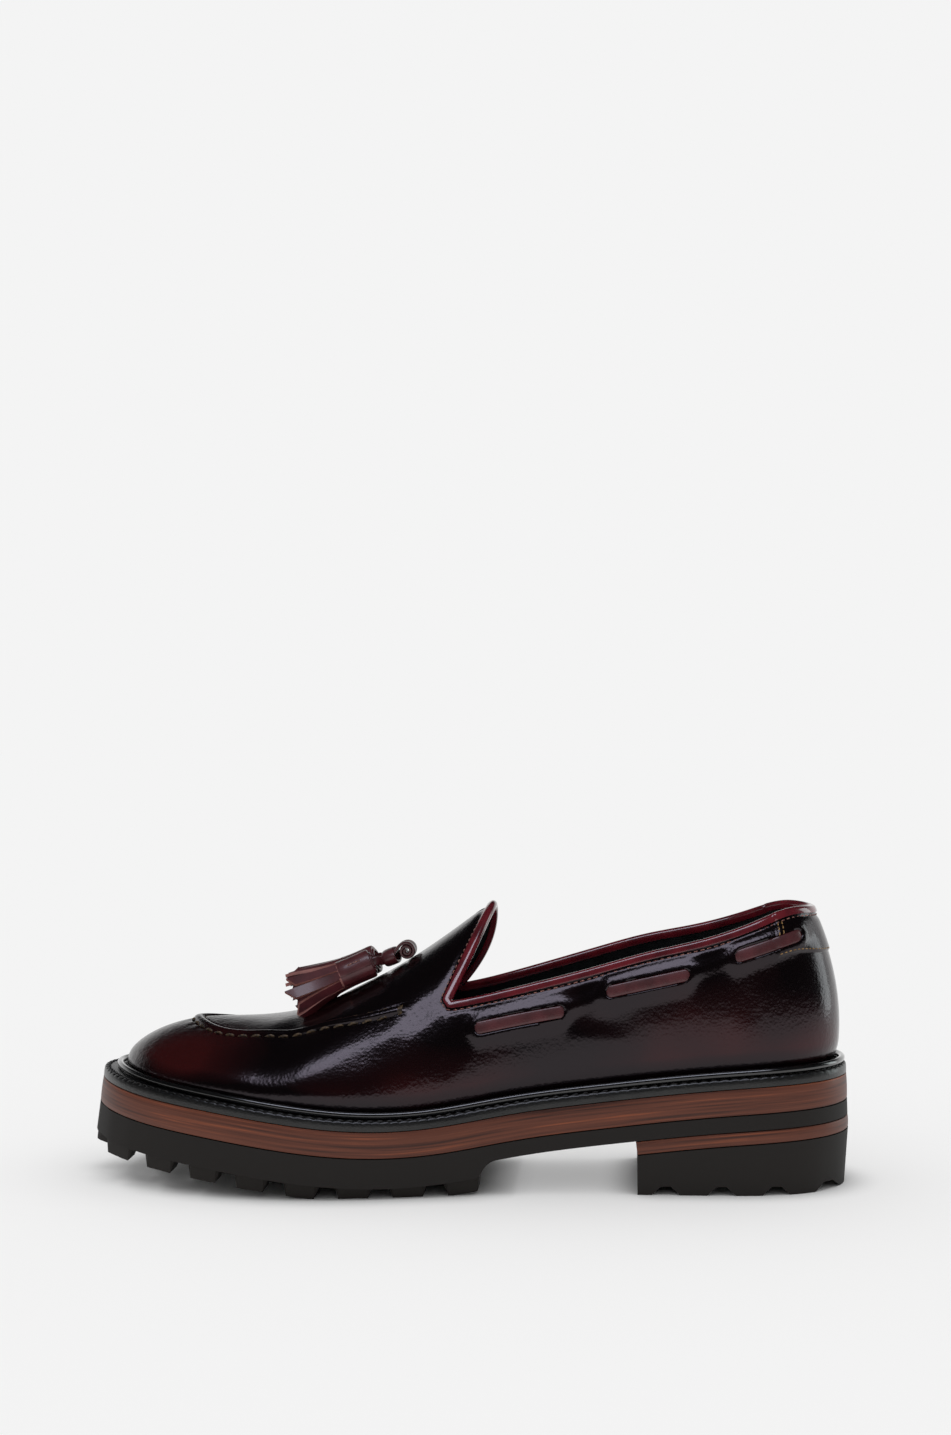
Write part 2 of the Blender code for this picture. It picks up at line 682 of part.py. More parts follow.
def tread_lines():
    """Places along the tread, and whether each is on a lug."""
    start = place(1) - TREAD_LENGTH
    lines = []
    count = int(TREAD_LENGTH / LUG_PITCH)
    for i in range(count):
        foot = start + i * LUG_PITCH
        lines += [
            (foot, 0), (foot + LUG_FLANK, 1),
            (foot + LUG_LENGTH - LUG_FLANK, 1), (foot + LUG_LENGTH, 0),
        ]
    return lines


def make_outsole(material):
    """Rubber sole: thin at the waist and heel, stepped down to a thick, lugged forefoot."""
    pieces = Pieces()
    tread = tread_lines()
    start = tread[0][0]
    step = TREAD_WALL - WAIST_THICKNESS
    curve = [
        (start - WAIST_CURVE * step * (1 - w), 0, WAIST_THICKNESS + step * w**2.5)
        for w in (0.0, 0.3, 0.55, 0.8)
    ]
    back = place(0) + HEEL_BREAST / 2
    waist = np.concatenate([
        eased(place(0), back, 8, "first"), np.linspace(back, curve[0][0], 15)[1:-1],
    ])
    lines = [(u, 0, WAIST_THICKNESS) for u in waist] + curve
    lines += [(u, lug, TREAD_WALL) for u, lug in tread]
    last = tread[-1][0]
    lines += [(u, 0, TREAD_WALL) for u in eased(last, place(1), 8, "last")[1:]]
    u = np.array([line[0] for line in lines])
    lug = np.array([line[1] for line in lines])
    thick = np.array([line[2] for line in lines])
    edges = {}
    for side in (1, -1):
        a = around(share(u), side, 0.0, 0.0)
        plan = inset_outline(a, 0.0, 0.0)
        edges[side] = plan[0], plan[1]
    width = edges[1][1] - edges[-1][1]
    across, on_lug = cross_columns(width)
    w = across / np.maximum(width, 1e-6)[:, None]
    w[width < 1e-6] = 0.0
    along = edges[1][0][:, None] * (1 - w) + edges[-1][0][:, None] * w
    y = edges[1][1][:, None] - across
    depth = thick[:, None] + LUG_DEPTH * lug[:, None] * on_lug[None]
    bottom = sole_point(along, y, -depth)
    bottom[..., 2] = np.maximum(bottom[..., 2], 0.0)
    pieces.grid(bottom)
    top = {side: sole_point(edges[side][0], edges[side][1], -GAP) for side in (1, -1)}
    pieces.grid(np.stack([top[1], top[-1]], axis=1))
    pieces.grid(np.stack([top[1], bottom[:, 0]], axis=1))
    pieces.grid(np.stack([top[-1], bottom[:, -1]], axis=1))
    return pieces.object("outsole", material, 25)


def make_heel_lift(material):
    top = -WAIST_THICKNESS - GAP
    return plate(
        "heel_lift", material, top - LIFT_THICKNESS + GAP, top, count=24,
        last=HEEL_BREAST / SOLE_LENGTH,
    )


def make_heel_block(material):
    """Rubber heel with notches across its underside."""
    pieces = Pieces()
    half, flat = NOTCH_WIDTH / 2, NOTCH_WIDTH / 6
    front = place(0) + HEEL_BREAST
    cuts = []
    for notch in np.arange(front - NOTCH_WIDTH * 1.1, place(0) + HEEL_ROUND + half, -NOTCH_PITCH):
        cuts = [
            (notch - half, 0.0), (notch - flat, NOTCH_DEPTH),
            (notch + flat, NOTCH_DEPTH), (notch + half, 0.0),
        ] + cuts
    lines = [(u, 0.0) for u in eased(place(0), cuts[0][0], 8, "first")[:-1]]
    lines += cuts + [(front, 0.0)]
    u = np.array([line[0] for line in lines])
    high = np.array([line[1] for line in lines])
    top_n = -WAIST_THICKNESS - LIFT_THICKNESS - GAP
    rims = {}
    for side in (1, -1):
        a = around(share(u), side, 0.0, 0.0)
        plan = inset_outline(a, 0.0, 0.0)
        top = sole_point(plan[0], plan[1], top_n)
        low = inset_outline(a, HEEL_TAPER, 0.0)
        bottom = np.stack([np.minimum(low[0], front), low[1], high], axis=-1)
        bottom[-1, 0] = top[-1, 0]
        rims[side] = top, bottom
        pieces.grid(np.stack([top, bottom], axis=1))
    pieces.grid(np.stack([rims[1][0], rims[-1][0]], axis=1))
    pieces.grid(np.stack([rims[1][1], rims[-1][1]], axis=1))
    pieces.grid(np.stack(
        [np.stack([rims[side][level][-1] for side in (1, -1)]) for level in (0, 1)]
    ))
    return pieces.object("heel_block", material, 25)


def collar_loop():
    """Places (a, t) once round the opening's rim: outer side, tongue, inner side, back to the heel."""
    rear = eased(0.0, float(THROAT_S), REAR_STATIONS)
    tongue = eased(TIP_S, float(THROAT_S), TONGUE_STATIONS)
    loop = []
    for side in (1, -1):
        low = around(rear, side), lower_edge_of_opening(rear, side)
        high = around(tongue[:-1], side), upper_edge_of_opening(tongue[:-1], side)
        a = np.concatenate([low[0], high[0][::-1]])
        t = np.concatenate([low[1], high[1][::-1]])
        loop.append((a, t, np.full_like(a, side)))
    outer, inner = loop
    return [np.concatenate([o, i[:0:-1][1:]]) for o, i in zip(outer, inner)]


def rim_frame(a, t, side):
    """Points of the rim, outward normals, and directions along the wall into the opening."""
    normal = last_normal(a, t)
    lift = np.where(side > 0, relief(a, t, 1), relief(a, t, -1))
    point = last_point(a, t) + normal * lift[:, None]
    along = np.roll(point, -1, axis=0) - np.roll(point, 1, axis=0)
    along /= np.linalg.norm(along, axis=1, keepdims=True)
    inward = np.cross(along, normal)
    return point, normal, inward / np.linalg.norm(inward, axis=1, keepdims=True)


def make_binding(material):
    """Leather edge seated on the upper's rim, round over its top."""
    point, normal, inward = rim_frame(*collar_loop())
    half = WALL / 2 + BINDING_PROUD
    foot = 0.45 * BINDING_HEIGHT
    turn = np.linspace(0, np.pi, 5)
    section = [(half, 0.0)]
    section += [(half * np.cos(w), foot + (BINDING_HEIGHT - foot) * np.sin(w)) for w in turn]
    section += [(-half, 0.0), (half, 0.0)]
    loops = [
        point + normal * (out - WALL / 2) + inward * (GAP + up) for out, up in section
    ]
    pieces = Pieces()
    rows = np.stack(loops, axis=1)
    pieces.grid(np.concatenate([rows, rows[:1]]))
    return pieces.object("collar_binding", material, 50)


def wall_place(x, rise, side):
    """a and t of the wall's points at places x and rises over the welt, found step by step."""
    s = (x - REAR_U) / (TOE_U - REAR_U)
    for _ in range(30):
        a = around(s, side)

        def above(t):
            point = last_point(a, t)
            return point[..., 2] - welt_height(point[..., 0]) - rise

        t = solve(above, np.zeros_like(a), np.full_like(a, 0.9))
        s = np.clip(s + (x - last_point(a, t)[..., 0]) / (TOE_U - REAR_U), 0.001, 0.999)
    return a, t


def make_lace_bar(name, row, side, material):
    """Flat bar of lace on the wall, round at both ends."""
    rear, rear_rise, front, front_rise = row
    w = eased(0.0, 1.0, 11)
    x = place(rear + (front - rear) * w)
    a, t = wall_place(x, (rear_rise + (front_rise - rear_rise) * w) * COLLAR_RISE, side)
    point, normal = last_point(a, t), last_normal(a, t)
    along = np.gradient(point, axis=0)
    across = np.cross(normal, along)
    across /= np.linalg.norm(across, axis=1, keepdims=True)
    step = TAB_STEP * smooth_step((place(0) + TAB_REACH + 2 * LACE_THICKNESS - x) / MM)
    length = np.linalg.norm(point[-1] - point[0])
    from_end = np.minimum(w, 1 - w) * length / (LACE_WIDTH / 2)
    round_end = np.sqrt(np.clip(1 - (1 - np.clip(from_end, 0, 1)) ** 2, 0.09, 1))[:, None]
    section = [(-0.5, 0), (-0.5, 0.7), (-0.36, 1), (0.36, 1), (0.5, 0.7), (0.5, 0)]
    rows = [
        point + across * (LACE_WIDTH * wide) * round_end
        + normal * (GAP + step[:, None] + LACE_THICKNESS * high)
        for wide, high in section + section[:1]
    ]
    pieces = Pieces()
    bar = np.stack(rows, axis=1)
    pieces.grid(bar)
    for end in (0, -1):
        pieces.grid(np.stack([bar[end, :3], bar[end, 5:2:-1]]))
    return pieces.object(name, material, 50)


def ridge_frame(along):
    """Point of the ridge, its outward normal and its direction towards the toe."""
    x = place(along)
    rise, slope = RIDGE_CURVE(x)
    slope = slope + UNDERSIDE_CURVE(x)[1]
    length = np.hypot(1.0, slope)
    point = np.array([x, -RIDGE_OFFSET, rise + welt_height(x)])
    return point, np.array([-slope, 0, 1]) / length, np.array([1, 0, slope]) / length


def knot_frame():
    """Middle of the knot, and its up and forward directions."""
    point, normal, along = ridge_frame(KNOT_ALONG)
    return point + normal * (1.7 * GAP + KNOT_SIZE[2] / 2), normal, along


def make_knot(material):
    """Knot of the lace, with a lobe to each side of its waist."""
    centre, normal, along = knot_frame()
    length, width, height = KNOT_SIZE
    w, turn = np.linspace(0, np.pi, 9), np.linspace(0, 2 * np.pi, 13)
    w, turn = np.meshgrid(w, turn, indexing="ij")
    fat = np.sin(w) * (0.86 + 0.14 * np.cos(2 * w) ** 2)
    shape = (
        centre
        + along * (length / 2 * np.cos(w))[..., None]
        + np.array([0, 1, 0]) * (width / 2 * fat * np.cos(turn))[..., None]
        + normal * (height / 2 * fat * np.sin(turn))[..., None]
    )
    pieces = Pieces()
    pieces.grid(shape)
    return pieces.object("lace_knot", material, 60)


def tassel_frame(side):
    """Start of a tassel's cap, and its axis, its across and its up directions."""
    ridge = ridge_frame(CAP_ALONG)[0]
    start = ridge + np.array([0, side * TASSEL_SIDE, CAP_CLEARANCE])
    splay = side * TASSEL_SPLAY
    axis = np.array([
        np.cos(TASSEL_DROP) * np.cos(splay), np.cos(TASSEL_DROP) * np.sin(splay),
        -np.sin(TASSEL_DROP),
    ])
    across = np.array([-np.sin(splay), np.cos(splay), 0.0])
    return start, axis, across, np.cross(axis, across)


def make_neck(name, side, material):
    """Rolled lace from the knot to the tassel's cap."""
    centre, normal, along = knot_frame()
    start, axis, _, _ = tassel_frame(side)
    length, width, height = KNOT_SIZE
    first = centre + along * (length / 2 + GAP) + normal * height * 0.12
    first = first + np.array([0, side * width / 4, 0])
    last = start - axis * 2 * GAP
    middle = (first + last) / 2 + normal * NECK_RADIUS / 3
    w = np.linspace(0, 1, 6)[:, None]
    path = first * (1 - w) ** 2 + 2 * middle * w * (1 - w) + last * w**2
    tangent = np.gradient(path, axis=0)
    tangent /= np.linalg.norm(tangent, axis=1, keepdims=True)
    level = np.cross(tangent, [0, 0, 1])
    level /= np.linalg.norm(level, axis=1, keepdims=True)
    rise = np.cross(level, tangent)
    turn = np.linspace(0, 2 * np.pi, 9)
    rows = np.stack(
        [path + NECK_RADIUS * (level * np.cos(v) + rise * np.sin(v)) for v in turn], axis=1
    )
    pieces = Pieces()
    pieces.grid(np.concatenate([path[:1, None].repeat(9, 1), rows, path[-1:, None].repeat(9, 1)]))
    return pieces.object(name, material, 60)


def make_tassel(name, side, material):
    """Wrapped cap with a fringe: strips that spread from under it, with furrows between them."""
    start, axis, across, up = tassel_frame(side)
    strip = np.arange(FRINGE_STRIPS * 4 + 1)
    on_strip = np.isin(strip % 4, (1, 2)).astype(float)
    turn = 2 * np.pi * (strip // 4 + np.array([0.0, 0.14, 0.86, 1.0])[strip % 4]) / FRINGE_STRIPS
    number = (strip // 4) % FRINGE_STRIPS
    tip = FRINGE_LENGTH * (1 - 0.09 * np.sin(2.4 * number) ** 2 - 0.2 * (1 - on_strip))
    under = 0.84 * TASSEL_RADIUS
    rows = []

    def ring_at(distance, wide, deep):
        rows.append(
            start + axis * np.broadcast_to(distance, turn.shape)[:, None]
            + across * (wide * np.cos(turn))[:, None] + up * (deep * np.sin(turn))[:, None]
        )

    none = np.zeros_like(turn)
    ring_at(0.9 * MM, none, none)
    ring_at(0.0, none + 0.72 * TASSEL_RADIUS, none + 0.72 * TASSEL_RADIUS)
    ring_at(0.5 * MM, none + 0.92 * TASSEL_RADIUS, none + 0.92 * TASSEL_RADIUS)
    ring_at(TASSEL_CAP_LENGTH, none + TASSEL_RADIUS, none + TASSEL_RADIUS)
    ring_at(TASSEL_CAP_LENGTH + 0.3 * MM, none + under, none + under)
    for part in (0.2, 0.6, 1.0):
        furrow = 1 - 0.42 * (1 - on_strip) * smooth_step(part * 1.6)
        wide = (under + (FRINGE_SPREAD[0] - under) * part) * furrow
        deep = (under + (FRINGE_SPREAD[1] - under) * part) * furrow
        ring_at(TASSEL_CAP_LENGTH + tip * part, wide, deep)
    ring_at(TASSEL_CAP_LENGTH + FRINGE_LENGTH * 0.7, none, none)
    pieces = Pieces()
    pieces.grid(np.stack(rows))
    return pieces.object(name, material, 35)


def stand_on_middle(pieces, outsole):
    """Moves the shoe so that the origin is under the middle of the sole's plan."""
    corners = np.array(outsole.bound_box)
    middle = (corners.min(axis=0) + corners.max(axis=0)) / 2
    for piece in pieces:
        piece.location = (-middle[0], -middle[1], 0.0)


def main():
    for old in list(bpy.data.objects):
        bpy.data.objects.remove(old)
    rubber = finish("rubber", (0.016, 0.013, 0.011), 0.75)
    stacked = finish("stacked leather", (0.075, 0.026, 0.019), 0.5)
    black = finish("black leather", (0.008, 0.008, 0.008), 0.35)
    polished = finish("polished leather", (0.022, 0.004, 0.006), 0.15)
    lining = finish("lining leather", (0.006, 0.006, 0.007), 0.6)
    edging = finish("binding leather", (0.10, 0.012, 0.018), 0.25)
    lace = finish("lace leather", (0.06, 0.012, 0.016), 0.45)
    outsole = make_outsole(rubber)
    pieces = [
        outsole,
        make_heel_block(rubber),
        make_heel_lift(stacked),
        plate("midsole", stacked, 0.0, MIDSOLE_THICKNESS),
        make_welt(black),
        make_rand(black),
        make_insole(lining),
        make_upper(polished),
        make_binding(edging),
        make_knot(lace),
    ]
    for side, word in ((1, "lateral"), (-1, "medial")):
        for number, row in enumerate(LACE_BARS, 1):
            pieces.append(make_lace_bar(f"lace_bar_{word}_{number}", row, side, lace))
        pieces.append(make_neck(f"lace_neck_{word}", side, lace))
        pieces.append(make_tassel(f"tassel_{word}", side, lace))
    stand_on_middle(pieces, outsole)


main()
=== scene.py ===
"""Looks of the left tassel loafer: leathers, threads, stacked edge and rubber, floor, light and camera.

Metres, in the part's frame: toe at +X, the wearer's left at +Y, floor at z = 0.
The upper is the surface P(a, t) of the last: a runs once round its lower edge, t from that edge, at 0,
to the ridge, at 1. The sole's layers are set out along its curved underside line.
"""

import bmesh
import bpy
import numpy as np
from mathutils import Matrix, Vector


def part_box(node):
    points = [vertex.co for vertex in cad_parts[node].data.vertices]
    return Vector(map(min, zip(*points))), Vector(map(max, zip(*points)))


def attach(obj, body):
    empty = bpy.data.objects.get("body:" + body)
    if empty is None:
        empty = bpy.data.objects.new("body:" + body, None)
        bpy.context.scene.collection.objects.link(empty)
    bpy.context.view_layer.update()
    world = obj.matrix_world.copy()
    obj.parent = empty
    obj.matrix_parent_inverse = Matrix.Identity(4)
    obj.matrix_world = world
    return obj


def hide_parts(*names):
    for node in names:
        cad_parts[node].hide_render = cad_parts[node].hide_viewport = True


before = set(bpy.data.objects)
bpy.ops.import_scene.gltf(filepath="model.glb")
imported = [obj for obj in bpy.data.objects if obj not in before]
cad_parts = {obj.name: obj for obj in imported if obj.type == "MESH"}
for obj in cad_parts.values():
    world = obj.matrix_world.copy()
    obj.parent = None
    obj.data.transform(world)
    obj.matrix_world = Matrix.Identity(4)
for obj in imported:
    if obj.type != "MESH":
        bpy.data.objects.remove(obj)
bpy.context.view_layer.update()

MM = 0.001

# Sizes that the part has too, unless a line says otherwise
SOLE_LENGTH = 271 * MM
BALL_WIDTH = 95 * MM
WAIST_THICKNESS = 5.6 * MM
TREAD_WALL = 10.4 * MM
LUG_DEPTH = 5.0 * MM
LUG_STANDING = 0.78
LIFT_THICKNESS = 4.7 * MM
HEEL_BLOCK_HEIGHT = 16.7 * MM
TOE_SPRING = 10.2 * MM
MIDSOLE_THICKNESS = 8.9 * MM
WELT_THICKNESS = 3.8 * MM
WELT_SHELF = 7.0 * MM
HEEL_BREAST = 76 * MM
WALL = 2.0 * MM
GAP = 0.3 * MM
RAND_RADIUS = 1.15 * MM
INSOLE_RISE = 2.2 * MM
INSTEP_RISE = 66.0 * MM
COLLAR_RISE = 56.0 * MM
MEDIAL_RISE = 1.5 * MM
WALL_BULGE = 4.0 * MM
THROAT_RADIUS = 4.3 * MM
TONGUE_SKEW = 4.5 * MM
RIDGE_OFFSET = 4.5 * MM
BINDING_HEIGHT = 2.5 * MM
BINDING_PROUD = 0.5 * MM
SEAM_WIDTH = 3.6 * MM
SEAM_HEIGHT = 1.2 * MM
TAB_STEP = 0.7 * MM
TAB_REACH = 27 * MM
TAB_DEPTH = 13 * MM
LACE_WIDTH = 4.3 * MM
LACE_THICKNESS = 1.3 * MM
LUG_PITCH = 17.2 * MM
LUG_LENGTH = 12.0 * MM
LUG_FLANK = 1.4 * MM
LUG_INSET = 1.8 * MM
SIDE_LUG_WIDTH = 13.2 * MM
LUG_GROOVE = 2.6 * MM
FULL_TREAD = 70 * MM
TREAD_LENGTH = 140 * MM
NOTCH_DEPTH = 3.0 * MM
NOTCH_PITCH = 19.2 * MM
NOTCH_WIDTH = 10.0 * MM
HEEL_TAPER = 1.0 * MM
HEEL_ROUND = 2 * MM
WAIST_CURVE = 1.5
TASSEL_RADIUS = 5.6 * MM
TASSEL_CAP_LENGTH = 13.0 * MM
FRINGE_LENGTH = 17.5 * MM
KNOT_SIZE = (12.5 * MM, 9.0 * MM, 6.6 * MM)
FRINGE_SPREAD = (8.6 * MM, 7.4 * MM)            # deeper than the solid's, half width and half depth

# Sizes that only show here
APRON_STITCH = 5.3 * MM         # pitch of the apron's hand stitches
APRON_THREAD = 0.48 * MM        # radius of its thread
FINE_STITCH = 2.4 * MM          # pitch of machine stitches
FINE_THREAD = 0.2 * MM
WELT_STITCH = 3.5 * MM
WELT_THREAD = 0.42 * MM
BAR_DIVE = 1.0 * MM             # how deep a lace bar's ends go under the leather
BAR_PAST = 2.2 * MM             # how far they go on behind the window's ends
TIE_THICKNESS = LACE_THICKNESS * 0.8
KNOT_ROLL = 3.0 * MM            # outer radius of the roll in the lace's knot
KNOT_ROLL_START = 0.6 * MM      # its inner radius
KNOT_ROLL_MIDDLE = (-2.7 * MM, -0.6 * MM)       # along the ridge and up, from the knot's middle
TIE_LANE = 2.35 * MM            # from the knot's middle to the middle of each half of the lace
BAND_WIDTH = 4.9 * MM           # of the strap round the knot
CAP_WALL = 0.55 * MM            # thickness of the strip that the tassel's cap is wound from
CAP_BORE = 3.9 * MM
CORE_WALL = 1.0 * MM
CUT_SLANT = 1.3 * MM            # half of what a strip's slanting cut takes off
BINDING_STITCH_IN = 1.0 * MM    # from the leather's edge to the binding's stitches
BINDING_GROOVE = 0.38 * MM      # how deep they pull the leather in
FOOT_TUCK = 0.9 * MM            # how far the leather goes in behind the bead
WINDOW_PUFF = 1.4 * MM          # how far it stands out round a lace window
OUTER_STRIPS = 9
INNER_STRIPS = 6

# Tables of the last and the sole, as in the part
OUTLINE = (
    # along, lateral, medial, shelf lateral, shelf medial, bulge lateral, bulge medial, fullness
    (0.000, 0.000, 0.000, 0.50, 0.50, 0.70, 0.70, 1.80),
    (0.026, 0.205, -0.203, 0.50, 0.50, 0.68, 0.68, 1.82),
    (0.085, 0.318, -0.312, 0.50, 0.50, 0.58, 0.58, 1.92),
    (0.170, 0.352, -0.345, 0.52, 0.50, 0.60, 0.55, 2.00),
    (0.280, 0.356, -0.345, 0.56, 0.50, 0.70, 0.90, 2.00),
    (0.390, 0.369, -0.314, 0.60, 0.48, 0.62, 1.35, 2.00),
    (0.480, 0.410, -0.312, 0.66, 0.48, 0.50, 1.35, 2.00),
    (0.560, 0.468, -0.362, 0.72, 0.52, 0.40, 0.85, 2.02),
    (0.640, 0.518, -0.430, 0.78, 0.60, 0.30, 0.45, 2.05),
    (0.720, 0.534, -0.468, 0.82, 0.70, 0.22, 0.28, 2.08),
    (0.800, 0.505, -0.474, 0.86, 0.78, 0.16, 0.16, 2.08),
    (0.880, 0.420, -0.438, 0.92, 0.88, 0.10, 0.10, 2.02),
    (0.945, 0.285, -0.345, 0.98, 0.96, 0.04, 0.04, 1.96),
    (0.985, 0.125, -0.205, 1.00, 1.00, 0.00, 0.00, 1.92),
    (1.000, -0.040, -0.040, 1.00, 1.00, 0.00, 0.00, 1.90),
)
UNDERSIDE = (
    # along, heel share, spring share
    (0.000, 1.22, 0.00), (0.075, 1.16, 0.00), (0.195, 0.98, 0.00), (0.316, 0.69, 0.00),
    (0.437, 0.35, 0.00), (0.526, 0.06, 0.00), (0.590, -0.02, 0.00), (0.650, 0.00, 0.03),
    (0.710, 0.00, 0.19), (0.776, 0.00, 0.42), (0.842, 0.00, 0.64), (0.912, 0.00, 0.84),
    (1.000, 0.00, 1.13),
)
RIDGE = (
    # along, rise
    (0.165, 1.36), (0.280, 1.28), (0.390, 1.17), (0.475, 1.02), (0.551, 0.835), (0.618, 0.672),
    (0.665, 0.562), (0.701, 0.474), (0.728, 0.430), (0.765, 0.386), (0.838, 0.336),
)
COLLAR = (
    # along, rise
    (0.040, 0.950), (0.075, 0.963), (0.115, 0.912), (0.195, 0.815), (0.259, 0.775),
    (0.325, 0.723), (0.432, 0.657), (0.515, 0.637), (0.590, 0.640),
)
SEAM = (
    # from throat, t
    (0.000, 0.443), (0.133, 0.498), (0.267, 0.540), (0.400, 0.590), (0.533, 0.636),
    (0.667, 0.652), (0.800, 0.676), (0.900, 0.742), (1.000, 0.839),
)
SEAM_END = 0.573
THROAT_ALONG = 0.5316
TIP_ALONG = 0.475
SPINE_REAR = 0.176
SPINE_FRONT = 0.838
LACE_BARS = (
    # rear along, rear rise, front along, front rise
    (0.3700, 0.515, 0.4830, 0.490),
    (0.2100, 0.655, 0.3150, 0.600),
    (0.0680, 0.835, 0.1510, 0.735),
)
KNOT_ALONG = 0.5868
CAP_ALONG = 0.6290
CAP_CLEARANCE = 6.6 * MM        # a millimetre lower than the solid's, so that the tassel lies on the apron
TASSEL_DROP = np.radians(23.5)
TASSEL_SPLAY = np.radians(7.0)
TASSEL_SIDE = 7.2 * MM


# Curves
def natural_spline(stations, values):
    """Smooth curve through the values, straight past its ends; it returns value and slope."""
    x, y = np.asarray(stations, float), np.asarray(values, float)
    h, step = np.diff(x), np.diff(y) / np.diff(x)
    n = len(x)
    system, right = np.eye(n), np.zeros(n)
    for i in range(1, n - 1):
        system[i, i - 1:i + 2] = h[i - 1], 2 * (h[i - 1] + h[i]), h[i]
        right[i] = 6 * (step[i] - step[i - 1])
    bend = np.linalg.solve(system, right)

    def curve(at):
        inside = np.clip(at, x[0], x[-1])
        i = np.clip(np.searchsorted(x, inside, side="right") - 1, 0, n - 2)
        b, c = inside - x[i], x[i + 1] - inside
        slope = step[i] - h[i] * (bend[i + 1] - bend[i]) / 6
        slope = slope + (bend[i + 1] * b**2 - bend[i] * c**2) / (2 * h[i])
        value = (bend[i] * c**3 + bend[i + 1] * b**3) / (6 * h[i])
        value = value + (y[i] / h[i] - bend[i] * h[i] / 6) * c
        value = value + (y[i + 1] / h[i] - bend[i + 1] * h[i] / 6) * b
        return value + slope * (at - inside), slope

    return curve


def closed_spline(points):
    """Smooth closed curve through rows of values, and the share of the way round of each."""
    rows = np.asarray(points, float)
    h = np.linalg.norm(np.roll(rows, -1, axis=0)[:, :2] - rows[:, :2], axis=1)
    total, n = h.sum(), len(rows)
    start = np.concatenate([[0.0], np.cumsum(h)]) / total
    h = h / total
    ahead = np.roll(rows, -1, axis=0)
    step = (ahead - rows) / h[:, None]
    system = np.zeros((n, n))
    for i in range(n):
        system[i, i - 1] += h[i - 1]
        system[i, i] += 2 * (h[i - 1] + h[i])
        system[i, (i + 1) % n] += h[i]
    bend = np.linalg.solve(system, 6 * (step - np.roll(step, 1, axis=0)))
    bend_ahead = np.roll(bend, -1, axis=0)

    def curve(at):
        at = np.mod(at, 1.0)
        i = np.clip(np.searchsorted(start, at, side="right") - 1, 0, n - 1)
        b = (at - start[i])[..., None]
        w = h[i][..., None]
        c = w - b
        value = (bend[i] * c**3 + bend_ahead[i] * b**3) / (6 * w)
        value = value + (rows[i] / w - bend[i] * w / 6) * c
        value = value + (ahead[i] / w - bend_ahead[i] * w / 6) * b
        slope = step[i] - w * (bend_ahead[i] - bend[i]) / 6
        slope = slope + (bend_ahead[i] * b**2 - bend[i] * c**2) / (2 * w)
        return value, slope

    return curve, start[:-1]


def share(x):
    """Share of the sole's length at place x, 0 at the heel."""
    return x / SOLE_LENGTH + 0.5


def place(along):
    """Place x of a share of the sole's length."""
    return (along - 0.5) * SOLE_LENGTH


def column(rows, index):
    """One column of a table, as numbers."""
    return np.array([row[index] for row in rows], float)


def outline_loop():
    """Rows round the sole: heel tip, lateral rows, toe tip, then medial rows back to the heel."""
    lateral = [
        (place(r[0]), r[1] * BALL_WIDTH, r[3] * WELT_SHELF, r[5] * WALL_BULGE, r[7]) for r in OUTLINE
    ]
    medial = [
        (place(r[0]), r[2] * BALL_WIDTH, r[4] * WELT_SHELF, r[6] * WALL_BULGE, r[7])
        for r in OUTLINE[1:-1]
    ]
    return lateral + medial[::-1]


OUTLINE_CURVE, OUTLINE_STARTS = closed_spline(outline_loop())
TOE = OUTLINE_STARTS[len(OUTLINE) - 1]
BALL_STACK = TREAD_WALL + LUG_STANDING * LUG_DEPTH
HEEL_STACK = WAIST_THICKNESS + LIFT_THICKNESS + HEEL_BLOCK_HEIGHT
UNDERSIDE_CURVE = natural_spline(
    place(column(UNDERSIDE, 0)),
    BALL_STACK + column(UNDERSIDE, 1) * (HEEL_STACK - BALL_STACK)
    + column(UNDERSIDE, 2) * TOE_SPRING,
)
WELT_TOP = MIDSOLE_THICKNESS + WELT_THICKNESS
RIDGE_CURVE = natural_spline(place(column(RIDGE, 0)), column(RIDGE, 1) * INSTEP_RISE)
SEAM_CURVE = natural_spline(column(SEAM, 0), column(SEAM, 1))
COLLAR_CURVE = natural_spline(place(column(COLLAR, 0)), column(COLLAR, 1) * COLLAR_RISE)


def sole_point(u, y, n):
    """Point u along and y across, n up from the underside line along its normal."""
    u, y, n = np.broadcast_arrays(np.asarray(u, float), y, n)
    z, slope = UNDERSIDE_CURVE(u)
    length = np.sqrt(1 + slope**2)
    return np.stack([u - n * slope / length, y, z + n / length], axis=-1)


def welt_height(x):
    """Height of the welt's top over the floor at place x."""
    return UNDERSIDE_CURVE(x)[0] + WELT_TOP


def collar_rise(x, side):
    """Rise of the collar over the welt; the medial side adds half a sine wave, squared."""
    rise = COLLAR_CURVE(x)[0]
    middle = np.clip((share(x) - 0.08) / (THROAT_ALONG - 0.08), 0.0, 1.0)
    return rise + (side < 0) * MEDIAL_RISE * np.sin(np.pi * middle) ** 2


def inset_outline(a, inset=0.0, shelf=1.0):
    """Place on the sole's plan at share a of the way round, moved in by the shelf and the inset."""
    value, slope = OUTLINE_CURVE(np.asarray(a, float))
    length = np.hypot(slope[..., 0], slope[..., 1])
    move = value[..., 2] * shelf + inset
    u = value[..., 0] + slope[..., 1] / length * move
    y = value[..., 1] - slope[..., 0] / length * move
    return u, y, value


DENSE = np.linspace(0.0, 1.0, 8001)
LATERAL_A = DENSE * TOE
MEDIAL_A = 1 - DENSE * (1 - TOE)
REAR_U, TOE_U = inset_outline(0.0)[0], inset_outline(TOE)[0]


